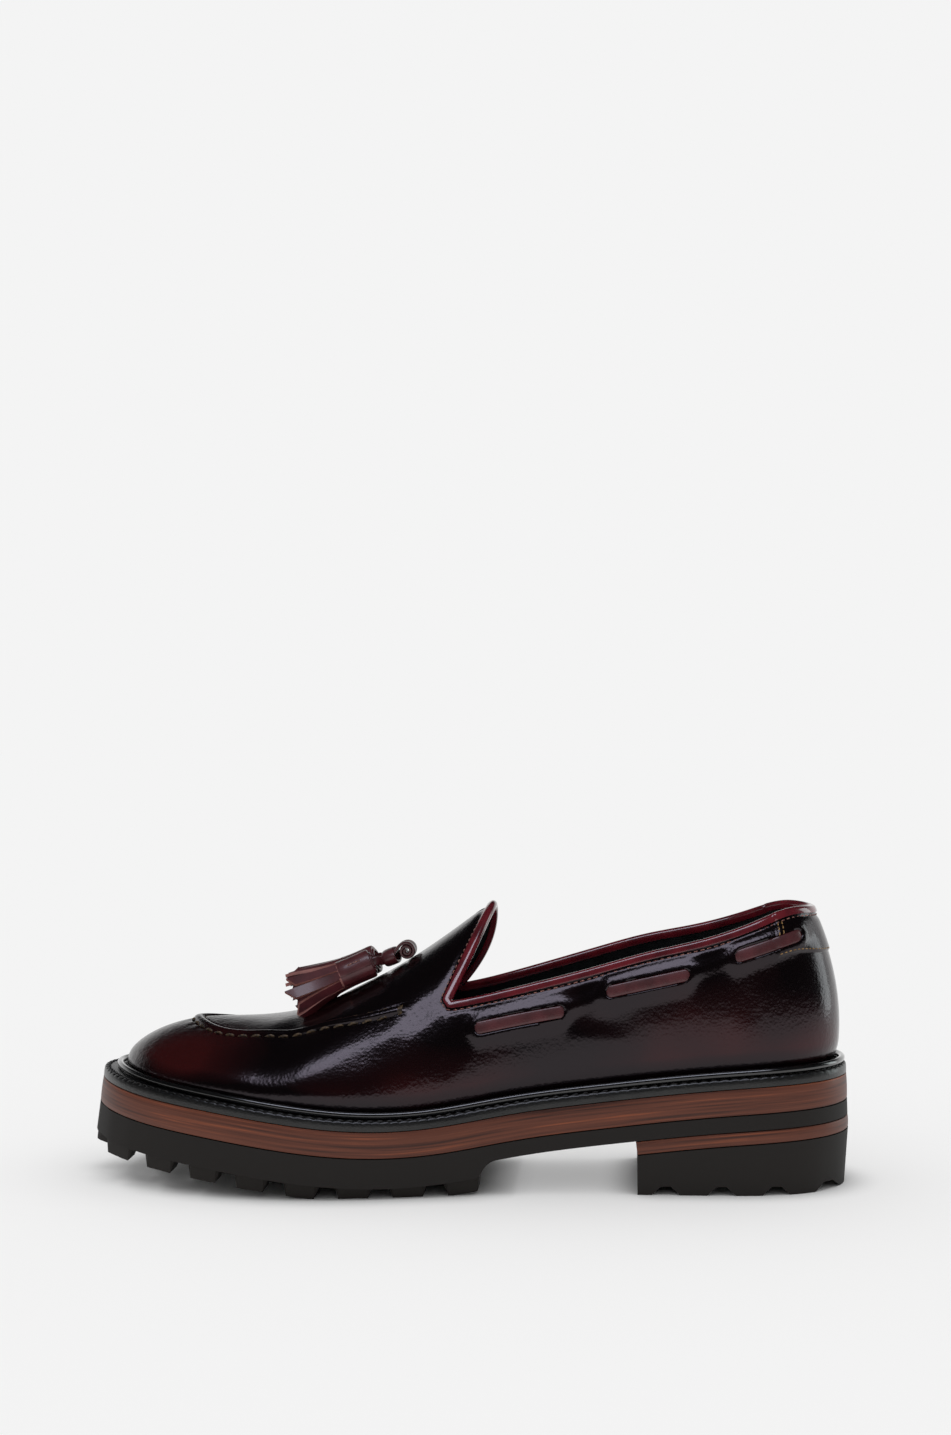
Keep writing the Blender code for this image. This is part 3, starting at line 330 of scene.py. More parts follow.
def around(s, side, inset=0.0, shelf=1.0):
    """Share of the way round where the inset plan is at share s of its own length."""
    a = LATERAL_A if side > 0 else MEDIAL_A
    u = inset_outline(a, inset, shelf)[0]
    way = np.maximum.accumulate((u - u[0]) / (u[-1] - u[0]))
    found = np.interp(s, way, a)
    return np.where(np.asarray(s) <= 0.0, a[0], np.where(np.asarray(s) >= 1.0, a[-1], found))


def ridge_point(u):
    """Place, height and slope of the ridge's point that the wall's line from u leads to."""
    s = (u - REAR_U) / (TOE_U - REAR_U)
    x = place(SPINE_REAR + s * (SPINE_FRONT - SPINE_REAR))
    rise, slope = RIDGE_CURVE(x)
    return x, rise + welt_height(x), slope + UNDERSIDE_CURVE(x)[1]


def last_point(a, t):
    """Surface of the last. From the lower edge F at a, the wall rises to the ridge's point S.

    Across, it goes 1 - cos^(2/p) of the way, and up, sin^(2/p), for an angle of t quarter turns.
    The ridge's slope is added in proportion to the way across, and a bulge pushes the wall out."""
    a, t = np.broadcast_arrays(np.asarray(a, float), np.asarray(t, float))
    u, y, value = inset_outline(a)
    foot = sole_point(u, y, WELT_TOP + GAP)
    bulge, power = value[..., 3], value[..., 4]
    x_ridge, z_ridge, slope = ridge_point(u)
    dx, dy = x_ridge - foot[..., 0], -RIDGE_OFFSET - foot[..., 1]
    reach = np.hypot(dx, dy)
    tilt = slope * dx
    angle = np.clip(t, 0.0, 1.0) * np.pi / 2
    across = 1 - np.cos(angle) ** (2 / power)
    up = np.sin(angle) ** (2 / power)
    z = foot[..., 2] + (z_ridge - foot[..., 2] - tilt) * up + tilt * across
    out = bulge * 6.75 * up * (1 - up) ** 2
    x = foot[..., 0] + dx * across - dx / reach * out
    y = foot[..., 1] + dy * across - dy / reach * out
    return np.stack([x, y, z], axis=-1)


def last_normal(a, t):
    """Outward normal: the cross product of small steps up and along, and the ridge's own near the top."""
    a, t = np.broadcast_arrays(np.asarray(a, float), np.asarray(t, float))
    row = np.clip(t, 0.012, 0.975)
    along = last_point(a + 2e-4, row) - last_point(a - 2e-4, row)
    up = last_point(a, row + 2e-3) - last_point(a, row - 2e-3)
    normal = np.cross(up, along)
    normal /= np.linalg.norm(normal, axis=-1, keepdims=True)
    slope = ridge_point(inset_outline(a)[0])[2]
    on_ridge = np.stack([-slope, np.zeros_like(slope), np.ones_like(slope)], axis=-1)
    on_ridge /= np.linalg.norm(on_ridge, axis=-1, keepdims=True)
    near = np.clip((t - 0.975) / 0.025, 0, 1)[..., None]
    normal = normal * (1 - near) + on_ridge * near
    return normal / np.linalg.norm(normal, axis=-1, keepdims=True)


def row_speed(a, t):
    """Metres along the wall for a full step of t."""
    step = last_point(a, np.minimum(t + 0.01, 1.0)) - last_point(a, t - 0.01)
    return np.linalg.norm(step, axis=-1) / (np.minimum(t + 0.01, 1.0) - t + 0.01)


def solve(function, low, high):
    """Where a rising function of t crosses zero, found by halving."""
    for _ in range(44):
        middle = (low + high) / 2
        below = function(middle) < 0
        low, high = np.where(below, middle, low), np.where(below, high, middle)
    return (low + high) / 2


def tongue_edge(z, side, corner):
    """Place x of the tongue's edge at height z: a straight line, and on the medial side a parabola more."""
    tip_x = place(TIP_ALONG)
    tip_z = welt_height(tip_x) + RIDGE_CURVE(tip_x)[0]
    corner_z = welt_height(corner) + collar_rise(corner, side)
    down = (tip_z - z) / (tip_z - corner_z)
    skew = TONGUE_SKEW * 4 * np.clip(down, 0, 1) * np.clip(1 - down, 0, 1) * (side < 0)
    return tip_x + (corner - tip_x) * down - skew


def opening(a, t, side, corner):
    """Positive inside the foot's opening: above the collar, behind the tongue, rounded between."""
    point = last_point(a, t)
    x, z = point[..., 0], point[..., 2]
    above = z - welt_height(x) - collar_rise(x, side)
    lean = (place(THROAT_ALONG) - place(TIP_ALONG)) / INSTEP_RISE * 2
    behind = (tongue_edge(z, side, corner) - x) / np.hypot(1.0, lean)
    short_above = np.maximum(THROAT_RADIUS - above, 0.0)
    short_behind = np.maximum(THROAT_RADIUS - behind, 0.0)
    return THROAT_RADIUS - np.hypot(short_above, short_behind)


SAMPLES = np.linspace(0.02, 1.0, 393)


def most_open(s, side, corner):
    """The opening's largest value on line s of the wall, and the t where it is."""
    a = around(s, side)
    value = opening(np.asarray(a)[..., None], SAMPLES, side, corner)
    best = value.argmax(axis=-1)
    return np.take_along_axis(value, best[..., None], -1)[..., 0], SAMPLES[best]


def throat_line(side, corner):
    """The foremost line s of the wall that the opening touches."""
    return solve(lambda s: -most_open(s, side, corner)[0], np.array(0.40), np.array(0.75))


THROAT_X = {1: place(THROAT_ALONG)}
THROAT_S = throat_line(1, THROAT_X[1])
THROAT_X[-1] = place(THROAT_ALONG) + solve(
    lambda shift: throat_line(-1, place(THROAT_ALONG) + shift) - THROAT_S,
    np.array(-20 * MM), np.array(20 * MM),
)
TIP_S = (TIP_ALONG - SPINE_REAR) / (SPINE_FRONT - SPINE_REAR)


def lower_edge_of_opening(s, side):
    """t where line s leaves the wall at the collar."""
    a, peak = around(s, side), most_open(s, side, THROAT_X[side])[1]
    return solve(lambda t: opening(a, t, side, THROAT_X[side]), np.zeros_like(a), peak)


def upper_edge_of_opening(s, side):
    """t where line s comes back in at the tongue's edge."""
    a, peak = around(s, side), most_open(s, side, THROAT_X[side])[1]
    return solve(lambda t: -opening(a, t, side, THROAT_X[side]), peak, np.ones_like(a))


def smooth_step(x):
    """0 below 0, 1 above 1, and a cubic that is level at both between them."""
    x = np.clip(x, 0.0, 1.0)
    return x * x * (3 - 2 * x)


def bell(x):
    """1 at 0, and 0 past -1 and 1."""
    return np.cos(np.clip(x, -1, 1) * np.pi / 2) ** 2


THROAT_T = {side: float(most_open(THROAT_S, side, THROAT_X[side])[1]) for side in (1, -1)}


def front_row(s, side):
    """t of the line that the wall and the apron share, from the throat's corner to the toe."""
    forward = (s - THROAT_S) / (1 - THROAT_S)
    lead = 1 - smooth_step(forward / 0.15)
    return SEAM_CURVE(forward)[0] + (THROAT_T[side] - SEAM_CURVE(0.0)[0]) * lead


SEAM_S = np.linspace(float(THROAT_S), 1.0, 600)
SEAM_ROWS = {side: front_row(SEAM_S, side) for side in (1, -1)}
SEAM_AROUND = {side: around(SEAM_S, side) for side in (1, -1)}


def way_along(points):
    """Metres along a line of points, from its first."""
    steps = np.linalg.norm(np.diff(points, axis=0), axis=1)
    return np.concatenate([[0.0], np.cumsum(steps)])


def seam_way(side):
    """Metres along the apron's seam from the tip of the toe."""
    way = way_along(last_point(SEAM_AROUND[side], SEAM_ROWS[side]))
    return way[-1] - way


SEAM_WAY = {side: seam_way(side) for side in (1, -1)}


def from_seam(a, t, side):
    """Distance from the seam's middle line, in half widths of it, and metres along it."""
    order = 1 if side > 0 else -1
    row = np.interp(a, SEAM_AROUND[side][::order], SEAM_ROWS[side][::order])
    way = np.interp(a, SEAM_AROUND[side][::order], SEAM_WAY[side][::order])
    return (t - row) * row_speed(a, row) / (SEAM_WIDTH / 2), way


# Relief of the leather
def seam_relief(a, t, side, x):
    """Rolled ridge with a deep groove at each foot, and gathers below that the thread draws in."""
    away, way = from_seam(a, t, side)
    begins = smooth_step((x - place(SEAM_END)) / SEAM_WIDTH)
    wave = np.cos(2 * np.pi * way / APRON_STITCH)
    ridge = SEAM_HEIGHT * np.clip(1 - np.abs(away) ** 2.4, 0, 1) ** 0.7
    groove = 0.42 * MM * np.exp(-(((away + 1.18) / 0.26) ** 2)) * (0.75 + 0.25 * wave)
    gather = 0.11 * MM * wave * np.exp(np.minimum(away + 1, 0) / 1.6) * (away < -1)
    rim = 0.34 * MM * np.exp(-(((away - 1.18) / 0.24) ** 2))
    return begins * (ridge - groove + gather - rim)


def tab_relief(x, z, side):
    """Heel tab's thickness, with soft steps at its front and its lower edge."""
    back = smooth_step((place(0) + TAB_REACH - x) / TAB_STEP)
    collar = welt_height(x) + collar_rise(x, side)
    high = smooth_step((z - collar + TAB_DEPTH) / TAB_STEP)
    return TAB_STEP * back * high


def lace_line(x):
    """Rise over the welt of the lace's line along the collar, at places x."""
    knots = sorted(
        [(place(row[0]), row[1]) for row in LACE_BARS] + [(place(row[2]), row[3]) for row in LACE_BARS]
    )
    return np.interp(x, [k[0] for k in knots], [k[1] for k in knots]) * COLLAR_RISE


def window_distance(x, across):
    """Signed distance to the nearest window, a slot with round ends: negative inside it."""
    nearest = np.full(np.shape(x), 1.0)
    for rear, _, front, _ in LACE_BARS:
        middle = (place(rear) + place(front)) / 2
        half = (place(front) - place(rear)) / 2 - LACE_WIDTH / 2
        past = np.maximum(np.abs(x - middle) - half, 0)
        nearest = np.minimum(nearest, np.hypot(past, across) - LACE_WIDTH / 2)
    return nearest


def lace_relief(x, z):
    """Leather puffed up round each window and, a little, over the hidden lace between them."""
    across = z - welt_height(x) - lace_line(x)
    away = window_distance(x, across)
    first, last = place(LACE_BARS[-1][0]) - 5 * MM, place(LACE_BARS[0][2]) + 6 * MM
    run = smooth_step((x - first) / (5 * MM)) * smooth_step((last - x) / (6 * MM))
    hidden = 0.35 * MM * bell(across / LACE_WIDTH) * run * smooth_step(away / (3 * MM))
    puff = WINDOW_PUFF * np.exp(-((np.maximum(away, 0) / (3.4 * MM)) ** 2))
    cut = smooth_step((away + 0.25 * MM) / (0.55 * MM))
    near_wall = np.abs(across) < 12 * MM
    return np.where(near_wall, hidden + puff * cut, 0.0)


# Soft troughs and ridges, seen from the side: place, rise over the welt, slope, half length,
# half width and height, in millimetres
FOLDS = (
    # x, rise, slope in degrees, half length, half width, height
    (16.0, 33.0, -38.0, 15.0, 5.0, -0.55),
    (24.0, 28.0, -35.0, 16.0, 5.5, 0.40),
    (2.0, 22.0, -52.0, 17.0, 7.0, -0.45),
    (34.0, 20.0, -30.0, 18.0, 6.0, -0.30),
    (-46.0, 24.0, 12.0, 22.0, 6.0, -0.35),
    (-98.0, 26.0, 78.0, 15.0, 7.0, -0.30),
)


def edge_relief(a, t, side):
    """Groove that the binding's stitches pull in, a millimetre from the opening's edge."""
    away = -opening(a, t, side, THROAT_X[side])
    return -BINDING_GROOVE * np.exp(-(((away - BINDING_STITCH_IN) / (1.1 * MM)) ** 2))


def foot_relief(x, z):
    """The leather tucks in behind the bead at its foot."""
    return -FOOT_TUCK * bell((z - welt_height(x)) / (8 * MM))


def fold_relief(x, z):
    """Sum of long soft bells, each turned by its slope."""
    rise = z - welt_height(x)
    total = np.zeros(np.shape(x))
    for fold_x, fold_rise, slope, length, width, height in FOLDS:
        turn = np.radians(slope)
        dx, dz = x - fold_x * MM, rise - fold_rise * MM
        along = dx * np.cos(turn) + dz * np.sin(turn)
        across = dz * np.cos(turn) - dx * np.sin(turn)
        total = total + height * MM * bell(along / (length * MM)) * bell(across / (width * MM))
    return total


def relief(a, t, side):
    """How far the leather's face stands out from the last: the sum of all the reliefs."""
    point = last_point(a, t)
    x, z = point[..., 0], point[..., 2]
    fade = smooth_step((1 - t) / 0.1)
    return (
        seam_relief(a, t, side, x) + tab_relief(x, z, side) + edge_relief(a, t, side)
        + foot_relief(x, z) + (lace_relief(x, z) + fold_relief(x, z)) * fade
    )


def upper_point(a, t, side):
    """Point on the leather's face, and the last's normal there."""
    normal = last_normal(a, t)
    return last_point(a, t) + normal * relief(a, t, side)[..., None], normal


def packed_shift():
    """The frame has the middle of its sole over the origin: how far that moves the plan's middle."""
    a = np.linspace(0, 1, 2001)
    u, y, _ = inset_outline(a, 0.0, 0.0)
    edge = np.concatenate([sole_point(u, y, 0.0), sole_point(u, y, MIDSOLE_THICKNESS)])
    low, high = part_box("midsole")
    middle = (np.array(low) + np.array(high)) / 2
    return np.array([*(middle - (edge.min(axis=0) + edge.max(axis=0)) / 2)[:2], 0.0])


SHIFT = packed_shift()


# Meshes
class Shell:
    """Collects grids of points, with places on a UV map and material slots, for one mesh."""

    def __init__(self):
        """Starts empty."""
        self.points, self.faces, self.maps, self.slots = [], [], [], []
        self.count = 0

    def grid(self, points, uv=None, slot=0):
        """Adds a grid of points, rows by columns, joined by four-sided faces."""
        rows, columns = points.shape[:2]
        i, j = np.meshgrid(np.arange(rows - 1), np.arange(columns - 1), indexing="ij")
        corner = (i * columns + j).ravel()
        faces = np.stack([corner, corner + 1, corner + columns + 1, corner + columns], axis=1)
        if uv is None:
            uv = np.zeros((rows, columns, 2))
        self.points.append(points.reshape(-1, 3))
        self.faces.append(faces + self.count)
        self.maps.append(uv.reshape(-1, 2)[faces])
        self.slots.append(np.full(len(faces), slot))
        self.count += rows * columns

    def piece(self, name, materials, replaces=(), slot=None, sharp=40, weld=0.01 * MM):
        """Makes the mesh, its seams welded and its faces outwards, and rides it on the root body."""
        mesh = bpy.data.meshes.new(name)
        points = np.concatenate(self.points) + SHIFT
        mesh.from_pydata(points.tolist(), [], np.concatenate(self.faces).tolist())
        layer = mesh.uv_layers.new(name="surface")
        layer.data.foreach_set("uv", np.concatenate(self.maps).ravel())
        mesh.polygons.foreach_set("material_index", np.concatenate(self.slots))
        shape = bmesh.new()
        shape.from_mesh(mesh)
        bmesh.ops.remove_doubles(shape, verts=shape.verts, dist=weld)
        bmesh.ops.dissolve_degenerate(shape, edges=shape.edges, dist=weld / 50)
        bmesh.ops.recalc_face_normals(shape, faces=shape.faces)
        shape.to_mesh(mesh)
        shape.free()
        mesh.shade_smooth()
        mesh.set_sharp_from_angle(angle=np.radians(sharp))
        for material in materials:
            mesh.materials.append(material)
        made = bpy.data.objects.new(name, mesh)
        bpy.context.scene.collection.objects.link(made)
        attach(made, "root")
        if replaces:
            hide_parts(*replaces)
        return made


def side_word(side):
    """Name of the outer side, 1, or the inner side, -1."""
    return "lateral" if side > 0 else "medial"


def unit(v):
    """Vectors scaled to length 1."""
    return v / np.maximum(np.linalg.norm(v, axis=-1, keepdims=True), 1e-12)


def carried(path, up, section):
    """Section, rows of (across, up) offsets, carried along a path with up directions."""
    tangent = unit(np.gradient(path, axis=0))
    across = unit(np.cross(up, tangent))
    rise = np.cross(tangent, across)
    section = np.asarray(section, float)
    if section.ndim == 2:
        section = np.broadcast_to(section, (len(path), *section.shape))
    return (
        path[:, None] + across[:, None] * section[..., 0:1] + rise[:, None] * section[..., 1:2]
    )


def strap_section(width, thickness, crown=0.12):
    """Closed section of a strap: flat below, slightly crowned on top, with rounded corners."""
    turn = np.linspace(0, 2 * np.pi, 17)
    x = np.sign(np.cos(turn)) * np.abs(np.cos(turn)) ** 0.35 * width / 2
    y = np.sign(np.sin(turn)) * np.abs(np.sin(turn)) ** 0.5 * thickness / 2
    y = y + crown * thickness * (1 - (2 * x / width) ** 2) * (y > 0)
    return np.stack([x, y], axis=1)


def strap(shell, path, up, section):
    """Adds a strap along a path: its section carried from end to end, and a face across each end."""
    rows = carried(path, up, section)
    shell.grid(rows)
    for end in (0, -1):
        shell.grid(np.stack([rows[end, :9], rows[end, 16:7:-1]]))


def sampled(line, way, at):
    """Rows of a line at metres along it."""
    return np.stack([np.interp(at, way, line[:, k]) for k in range(line.shape[1])], axis=-1)


def stitches(shell, path, normal, pitch, length, radius, lean=0.0, lift=0.0, start=0.0):
    """Adds threads: each rod is thick for its middle part, arches by lift and dives in at its ends."""
    way = way_along(path)
    count = int((way[-1] - start) / pitch)
    w = np.linspace(0, 1, 8)
    for i in range(count):
        at = start + (i + 0.5) * pitch + (w - 0.5) * length
        centre, up = sampled(path, way, at), unit(sampled(normal, way, at))
        side = unit(np.cross(up, unit(np.gradient(centre, axis=0))))
        arch = np.sin(np.pi * w)[:, None]
        centre = centre + side * (lean * (w - 0.5))[:, None] + up * ((lift + radius) * arch - radius)
        thick = radius * np.sqrt(np.clip(1 - (2 * w - 1) ** 6, 0, 1))[:, None]
        turn = np.linspace(0, 2 * np.pi, 9)
        section = np.stack([thick * np.cos(turn), thick * np.sin(turn)], axis=-1)
        shell.grid(carried(centre, up, section))


# Materials
def linear(code):
    """Linear colour of an sRGB hex value."""
    value = np.array([int(code[i:i + 2], 16) / 255 for i in (1, 3, 5)])
    value = np.where(value <= 0.04045, value / 12.92, ((value + 0.055) / 1.055) ** 2.4)
    return (*value, 1.0)


def add(tree, kind, values=None, links=None, **settings):
    """Adds a node with its settings, socket values and links from other nodes' outputs."""
    node = tree.nodes.new(kind)
    for name, value in settings.items():
        setattr(node, name, value)
    for name, value in (values or {}).items():
        node.inputs[name].default_value = value
    for name, output in (links or {}).items():
        tree.links.new(output, node.inputs[name])
    return node


def surface_of(name, **values):
    """New material with a Principled shader, its tree, the shader, and its Object coordinates."""
    material = bpy.data.materials.new(name)
    material.use_nodes = True
    tree = material.node_tree
    shader = tree.nodes["Principled BSDF"]
    for socket, value in values.items():
        shader.inputs[socket.replace("_", " ")].default_value = value
    coordinates = add(tree, "ShaderNodeTexCoord")
    return material, tree, shader, coordinates


def ramp(tree, factor, stops, interpolation="LINEAR"):
    """Colour output that goes through stops of position and hex colour as the factor grows."""
    node = add(tree, "ShaderNodeValToRGB", links={"Fac": factor})
    node.color_ramp.interpolation = interpolation
    elements = node.color_ramp.elements
    while len(elements) < len(stops):
        elements.new(0.5)
    for element, (position, colour) in zip(elements, stops):
        element.position = position
        element.color = linear(colour)
    return node.outputs["Color"]


DYE_CLOUDS = 22.0               # a metre, so a cloud in the dye is some 45 mm across
STRETCHED_PATCHES = 17.0        # a metre: patches of stronger and weaker grain, some 59 mm across
EDGE_STREAKS = (14.0, 900.0, 1.0)       # a metre: streaks some 71 mm long and 1.1 mm high


def polished_leather():
    """Brushed-off leather, taken to be calf: dyed burgundy, toned black and waxed to a mirror.

    To the eye it is nearly black, with dark red clouds low down and a sharp gloss that its grain
    breaks up where the leather is stretched and gathered. Painted shade turns it black again over
    the lowest few millimetres, behind the bead. The piece's UV map holds the place along the shoe
    and the rise over the welt, in metres. The grain is drawn coarser than the real 0.3 mm, so that it
    shows."""
    material, tree, shader, at = surface_of(
        "brushed-off calf leather", Roughness=0.19, IOR=1.44, Coat_Weight=0.12, Coat_Roughness=0.05,
        Specular_Tint=linear("#f0dfe8"),
    )
    everywhere = at.outputs["Object"]
    clouds = add(
        tree, "ShaderNodeTexNoise", {"Scale": DYE_CLOUDS, "Detail": 2.0, "Roughness": 0.4},
        {"Vector": everywhere},
    )
    rise = add(tree, "ShaderNodeSeparateXYZ", links={"Vector": at.outputs["UV"]}).outputs["Y"]
    upward = add(
        tree, "ShaderNodeMapRange",
        {"From Min": 8 * MM, "From Max": 40 * MM, "To Min": 0.04, "To Max": -0.16},
        {"Value": rise},
    )
    # painted shade: the colour goes black over the lowest 9 mm of the wall, just above the bead
    foot = add(
        tree, "ShaderNodeMapRange",
        {"From Min": 2 * MM, "From Max": 9 * MM, "To Min": -0.35, "To Max": 0.0}, {"Value": rise},
    )
    # darker towards the top of the wall, plus the painted shade above the bead
    rise_tone_and_foot_shade = add(
        tree, "ShaderNodeMath", links={0: upward.outputs["Result"], 1: foot.outputs["Result"]},
        operation="ADD",
    )
    shade = add(
        tree, "ShaderNodeMath", links={0: clouds.outputs["Fac"], 1: rise_tone_and_foot_shade.outputs["Value"]},
        operation="ADD",
    )
    colour = ramp(tree, shade.outputs["Value"], (
        (0.34, "#080405"), (0.50, "#190607"), (0.66, "#300b0b"),
    ))
    tree.links.new(colour, shader.inputs["Base Color"])
    grain = add(
        tree, "ShaderNodeTexVoronoi", {"Scale": 1 / (1.1 * MM)}, {"Vector": everywhere},
    )
    wrinkle = add(
        tree, "ShaderNodeTexNoise", {"Scale": 1 / (3.0 * MM), "Detail": 3.0, "Roughness": 0.6},
        {"Vector": everywhere},
    )
    both = add(
        tree, "ShaderNodeMath", {1: 0.4}, {0: grain.outputs["Distance"], 2: wrinkle.outputs["Fac"]},
        operation="MULTIPLY_ADD",
    )
    stretched = add(
        tree, "ShaderNodeTexNoise", {"Scale": STRETCHED_PATCHES, "Detail": 1.0},
        {"Vector": everywhere},
    )
    strength = add(
        tree, "ShaderNodeMapRange", {"From Min": 0.36, "From Max": 0.56, "To Min": 0.55, "To Max": 1.0},
        {"Value": stretched.outputs["Fac"]},
    )
    bump = add(
        tree, "ShaderNodeBump", {"Distance": 0.14 * MM},
        {"Height": both.outputs["Value"], "Strength": strength.outputs["Result"]},
    )
    tree.links.new(bump.outputs["Normal"], shader.inputs["Normal"])
    return material


def plain_leather(name, low, high, roughness, coat, grain_size, depth, coat_roughness=0.15):
    """Dyed leather: the eye sees small pebbles of grain and slightly uneven dye."""
    material, tree, shader, at = surface_of(
        name, Roughness=roughness, Coat_Weight=coat, Coat_Roughness=coat_roughness,
    )
    dye = add(
        tree, "ShaderNodeTexNoise", {"Scale": 1 / (7 * MM), "Detail": 3.0},
        {"Vector": at.outputs["Object"]},
    )
    colour = ramp(tree, dye.outputs["Fac"], ((0.35, low), (0.65, high)))
    tree.links.new(colour, shader.inputs["Base Color"])
    grain = add(
        tree, "ShaderNodeTexVoronoi", {"Scale": 1 / grain_size}, {"Vector": at.outputs["Object"]},
    )
    bump = add(
        tree, "ShaderNodeBump", {"Strength": 0.5, "Distance": depth},
        {"Height": grain.outputs["Distance"]},
    )
    tree.links.new(bump.outputs["Normal"], shader.inputs["Normal"])
    return material


def stacked_edge():
    """Edge of stacked leather, stained red-brown and burnished: the eye sees streaks along it."""
    material, tree, shader, at = surface_of(
        "stacked leather edge", Roughness=0.45, Specular_IOR_Level=0.35,
    )
    spread = add(
        tree, "ShaderNodeMapping", {"Scale": EDGE_STREAKS}, {"Vector": at.outputs["UV"]},
    )
    streaks = add(
        tree, "ShaderNodeTexNoise", {"Scale": 1.0, "Detail": 4.0, "Roughness": 0.6, "Distortion": 0.3},
        {"Vector": spread.outputs["Vector"]},
    )
    colour = ramp(tree, streaks.outputs["Fac"], (
        (0.33, "#3a1c12"), (0.46, "#582c1c"), (0.58, "#643422"), (0.68, "#884526"),
    ))
    tree.links.new(colour, shader.inputs["Base Color"])
    bump = add(
        tree, "ShaderNodeBump", {"Strength": 0.4, "Distance": 0.05 * MM},
        {"Height": streaks.outputs["Fac"]},
    )
    tree.links.new(bump.outputs["Normal"], shader.inputs["Normal"])
    return material


def moulded_rubber():
    """Black-brown rubber, moulded: to the eye it is matt, with the mould's fine texture."""
    material, tree, shader, at = surface_of(
        "moulded rubber", Roughness=0.7, Base_Color=linear("#1f1b18"), Specular_IOR_Level=0.3,
    )
    texture = add(
        tree, "ShaderNodeTexNoise", {"Scale": 1 / (0.5 * MM), "Detail": 2.0},
        {"Vector": at.outputs["Object"]},
    )
    bump = add(
        tree, "ShaderNodeBump", {"Strength": 0.3, "Distance": 0.04 * MM},
        {"Height": texture.outputs["Fac"]},
    )
    tree.links.new(bump.outputs["Normal"], shader.inputs["Normal"])
    return material


def thread(name, low, high):
    """Waxed thread, plied: painted shade darkens it in small blotches, for the grooves between its strands.
    """
    material, tree, shader, at = surface_of(name, Roughness=0.5)
    # painted shade: blotches of noise darken the thread, for the grooves between strands
    ply_groove_shade = add(
        tree, "ShaderNodeTexNoise", {"Scale": 1 / (0.6 * MM), "Detail": 1.0},
        {"Vector": at.outputs["Object"]},
    )
    colour = ramp(tree, ply_groove_shade.outputs["Fac"], ((0.4, low), (0.6, high)))
    tree.links.new(colour, shader.inputs["Base Color"])
    return material


# Upper
REAR_STATIONS = 230
TONGUE_STATIONS = 50
FRONT_STATIONS = 150
WALL_ROWS = 66
PLUG_ROWS = 36
LINING_STEP = 5                 # the lining has one row for so many of the leather's


def crowded(first, last, count, density):
    """Stations from first to last, as close together as the density asks."""
    fine = np.linspace(first, last, 4000)
    total = np.concatenate([[0.0], np.cumsum(density((fine[1:] + fine[:-1]) / 2))])
    return np.interp(np.linspace(0, total[-1], count), total, fine)


def rear_density(s):
    """Stations crowd at the heel's tip, at the ends of the lace windows and at the tab's edge."""
    x = REAR_U + s * (TOE_U - REAR_U)
    ends = [place(row[k]) for row in LACE_BARS for k in (0, 2)] + [place(0) + TAB_REACH]
    near = sum(np.exp(-(((x - end - 1 * MM) / (4 * MM)) ** 2)) for end in ends)
    return 1 + 0.35 / np.sqrt(s + 1e-4) + 3.5 * near


def wall_density(f):
    """Rows crowd just below the wall's top edge and at the lace, f being the share down from it."""
    return 1 + 4.0 * np.exp(-((f / 0.06) ** 2)) + 3.5 * np.exp(-(((f - 0.2) / 0.10) ** 2))


def make_upper(leather, lining):
    """Leather and lining: grids of P(a, t) with its relief, and of P(a, t) a wall's thickness inside."""
    shell = Shell()
    rear = crowded(0.0, float(THROAT_S), REAR_STATIONS, rear_density)
    rear[0], rear[-1] = 0.0, float(THROAT_S)
    x = np.linspace(0, 1, TONGUE_STATIONS)
    tongue = TIP_S + (float(THROAT_S) - TIP_S) * (1 - np.cos(np.pi * x)) / 2
    x = np.linspace(0, 1, FRONT_STATIONS)
    front = float(THROAT_S) + (1 - float(THROAT_S)) * (1 - (1 - x) ** 2)
    for side in (1, -1):
        for patch in ("wall", "plug"):
            if patch == "wall":
                start, edge = rear, lower_edge_of_opening(rear[:-1], side)
                spacing = 1 - crowded(0.0, 1.0, WALL_ROWS, wall_density)[::-1]
            else:
                start, edge = tongue, upper_edge_of_opening(tongue[:-1], side)
                spacing = np.linspace(0, 1, PLUG_ROWS) ** 1.5
            s = np.concatenate([start[:-1], front])
            edge = np.concatenate([edge, front_row(front, side)])
            a = np.broadcast_to(around(s, side)[:, None], (len(s), len(spacing)))
            if patch == "wall":
                t = edge[:, None] * spacing
            else:
                t = edge[:, None] + (1 - edge[:, None]) * spacing
            outer, normal = upper_point(a, t, side)
            inner = last_point(a, t) - normal * WALL
            rim = len(start)
            column_at = -1 if patch == "wall" else 0
            risen = outer[..., 2] - welt_height(outer[..., 0])
            shell.grid(outer, np.stack([outer[..., 0], risen], axis=-1))
            shell.grid(inner[:, ::LINING_STEP], slot=1)
            shell.grid(np.stack([outer[:rim, column_at], inner[:rim, column_at]], axis=1), slot=1)
            if patch == "wall":
                shell.grid(np.stack([outer[:, 0], inner[:, 0]], axis=1), slot=1)
    return shell.piece("upper_leather", [leather, lining], ["upper"], "polished_leather", sharp=60)


# Collar binding
def collar_loop(count=170, tongue_count=90):
    """Places (a, t) once round the opening's rim: outer side, tongue, inner side, to the heel."""
    rear = crowded(0.0, float(THROAT_S), count, rear_density)
    rear[0], rear[-1] = 0.0, float(THROAT_S)
    x = np.linspace(0, 1, tongue_count)
    tongue = TIP_S + (float(THROAT_S) - TIP_S) * (1 - np.cos(np.pi * x)) / 2
    loop = []
    for side in (1, -1):
        low = around(rear, side), lower_edge_of_opening(rear, side)
        high = around(tongue[:-1], side), upper_edge_of_opening(tongue[:-1], side)
        a = np.concatenate([low[0], high[0][::-1]])
        t = np.concatenate([low[1], high[1][::-1]])
        loop.append((a, t, np.full_like(a, side)))
    outer, inner = loop
    return [np.concatenate([o, i[:0:-1][1:]]) for o, i in zip(outer, inner)]


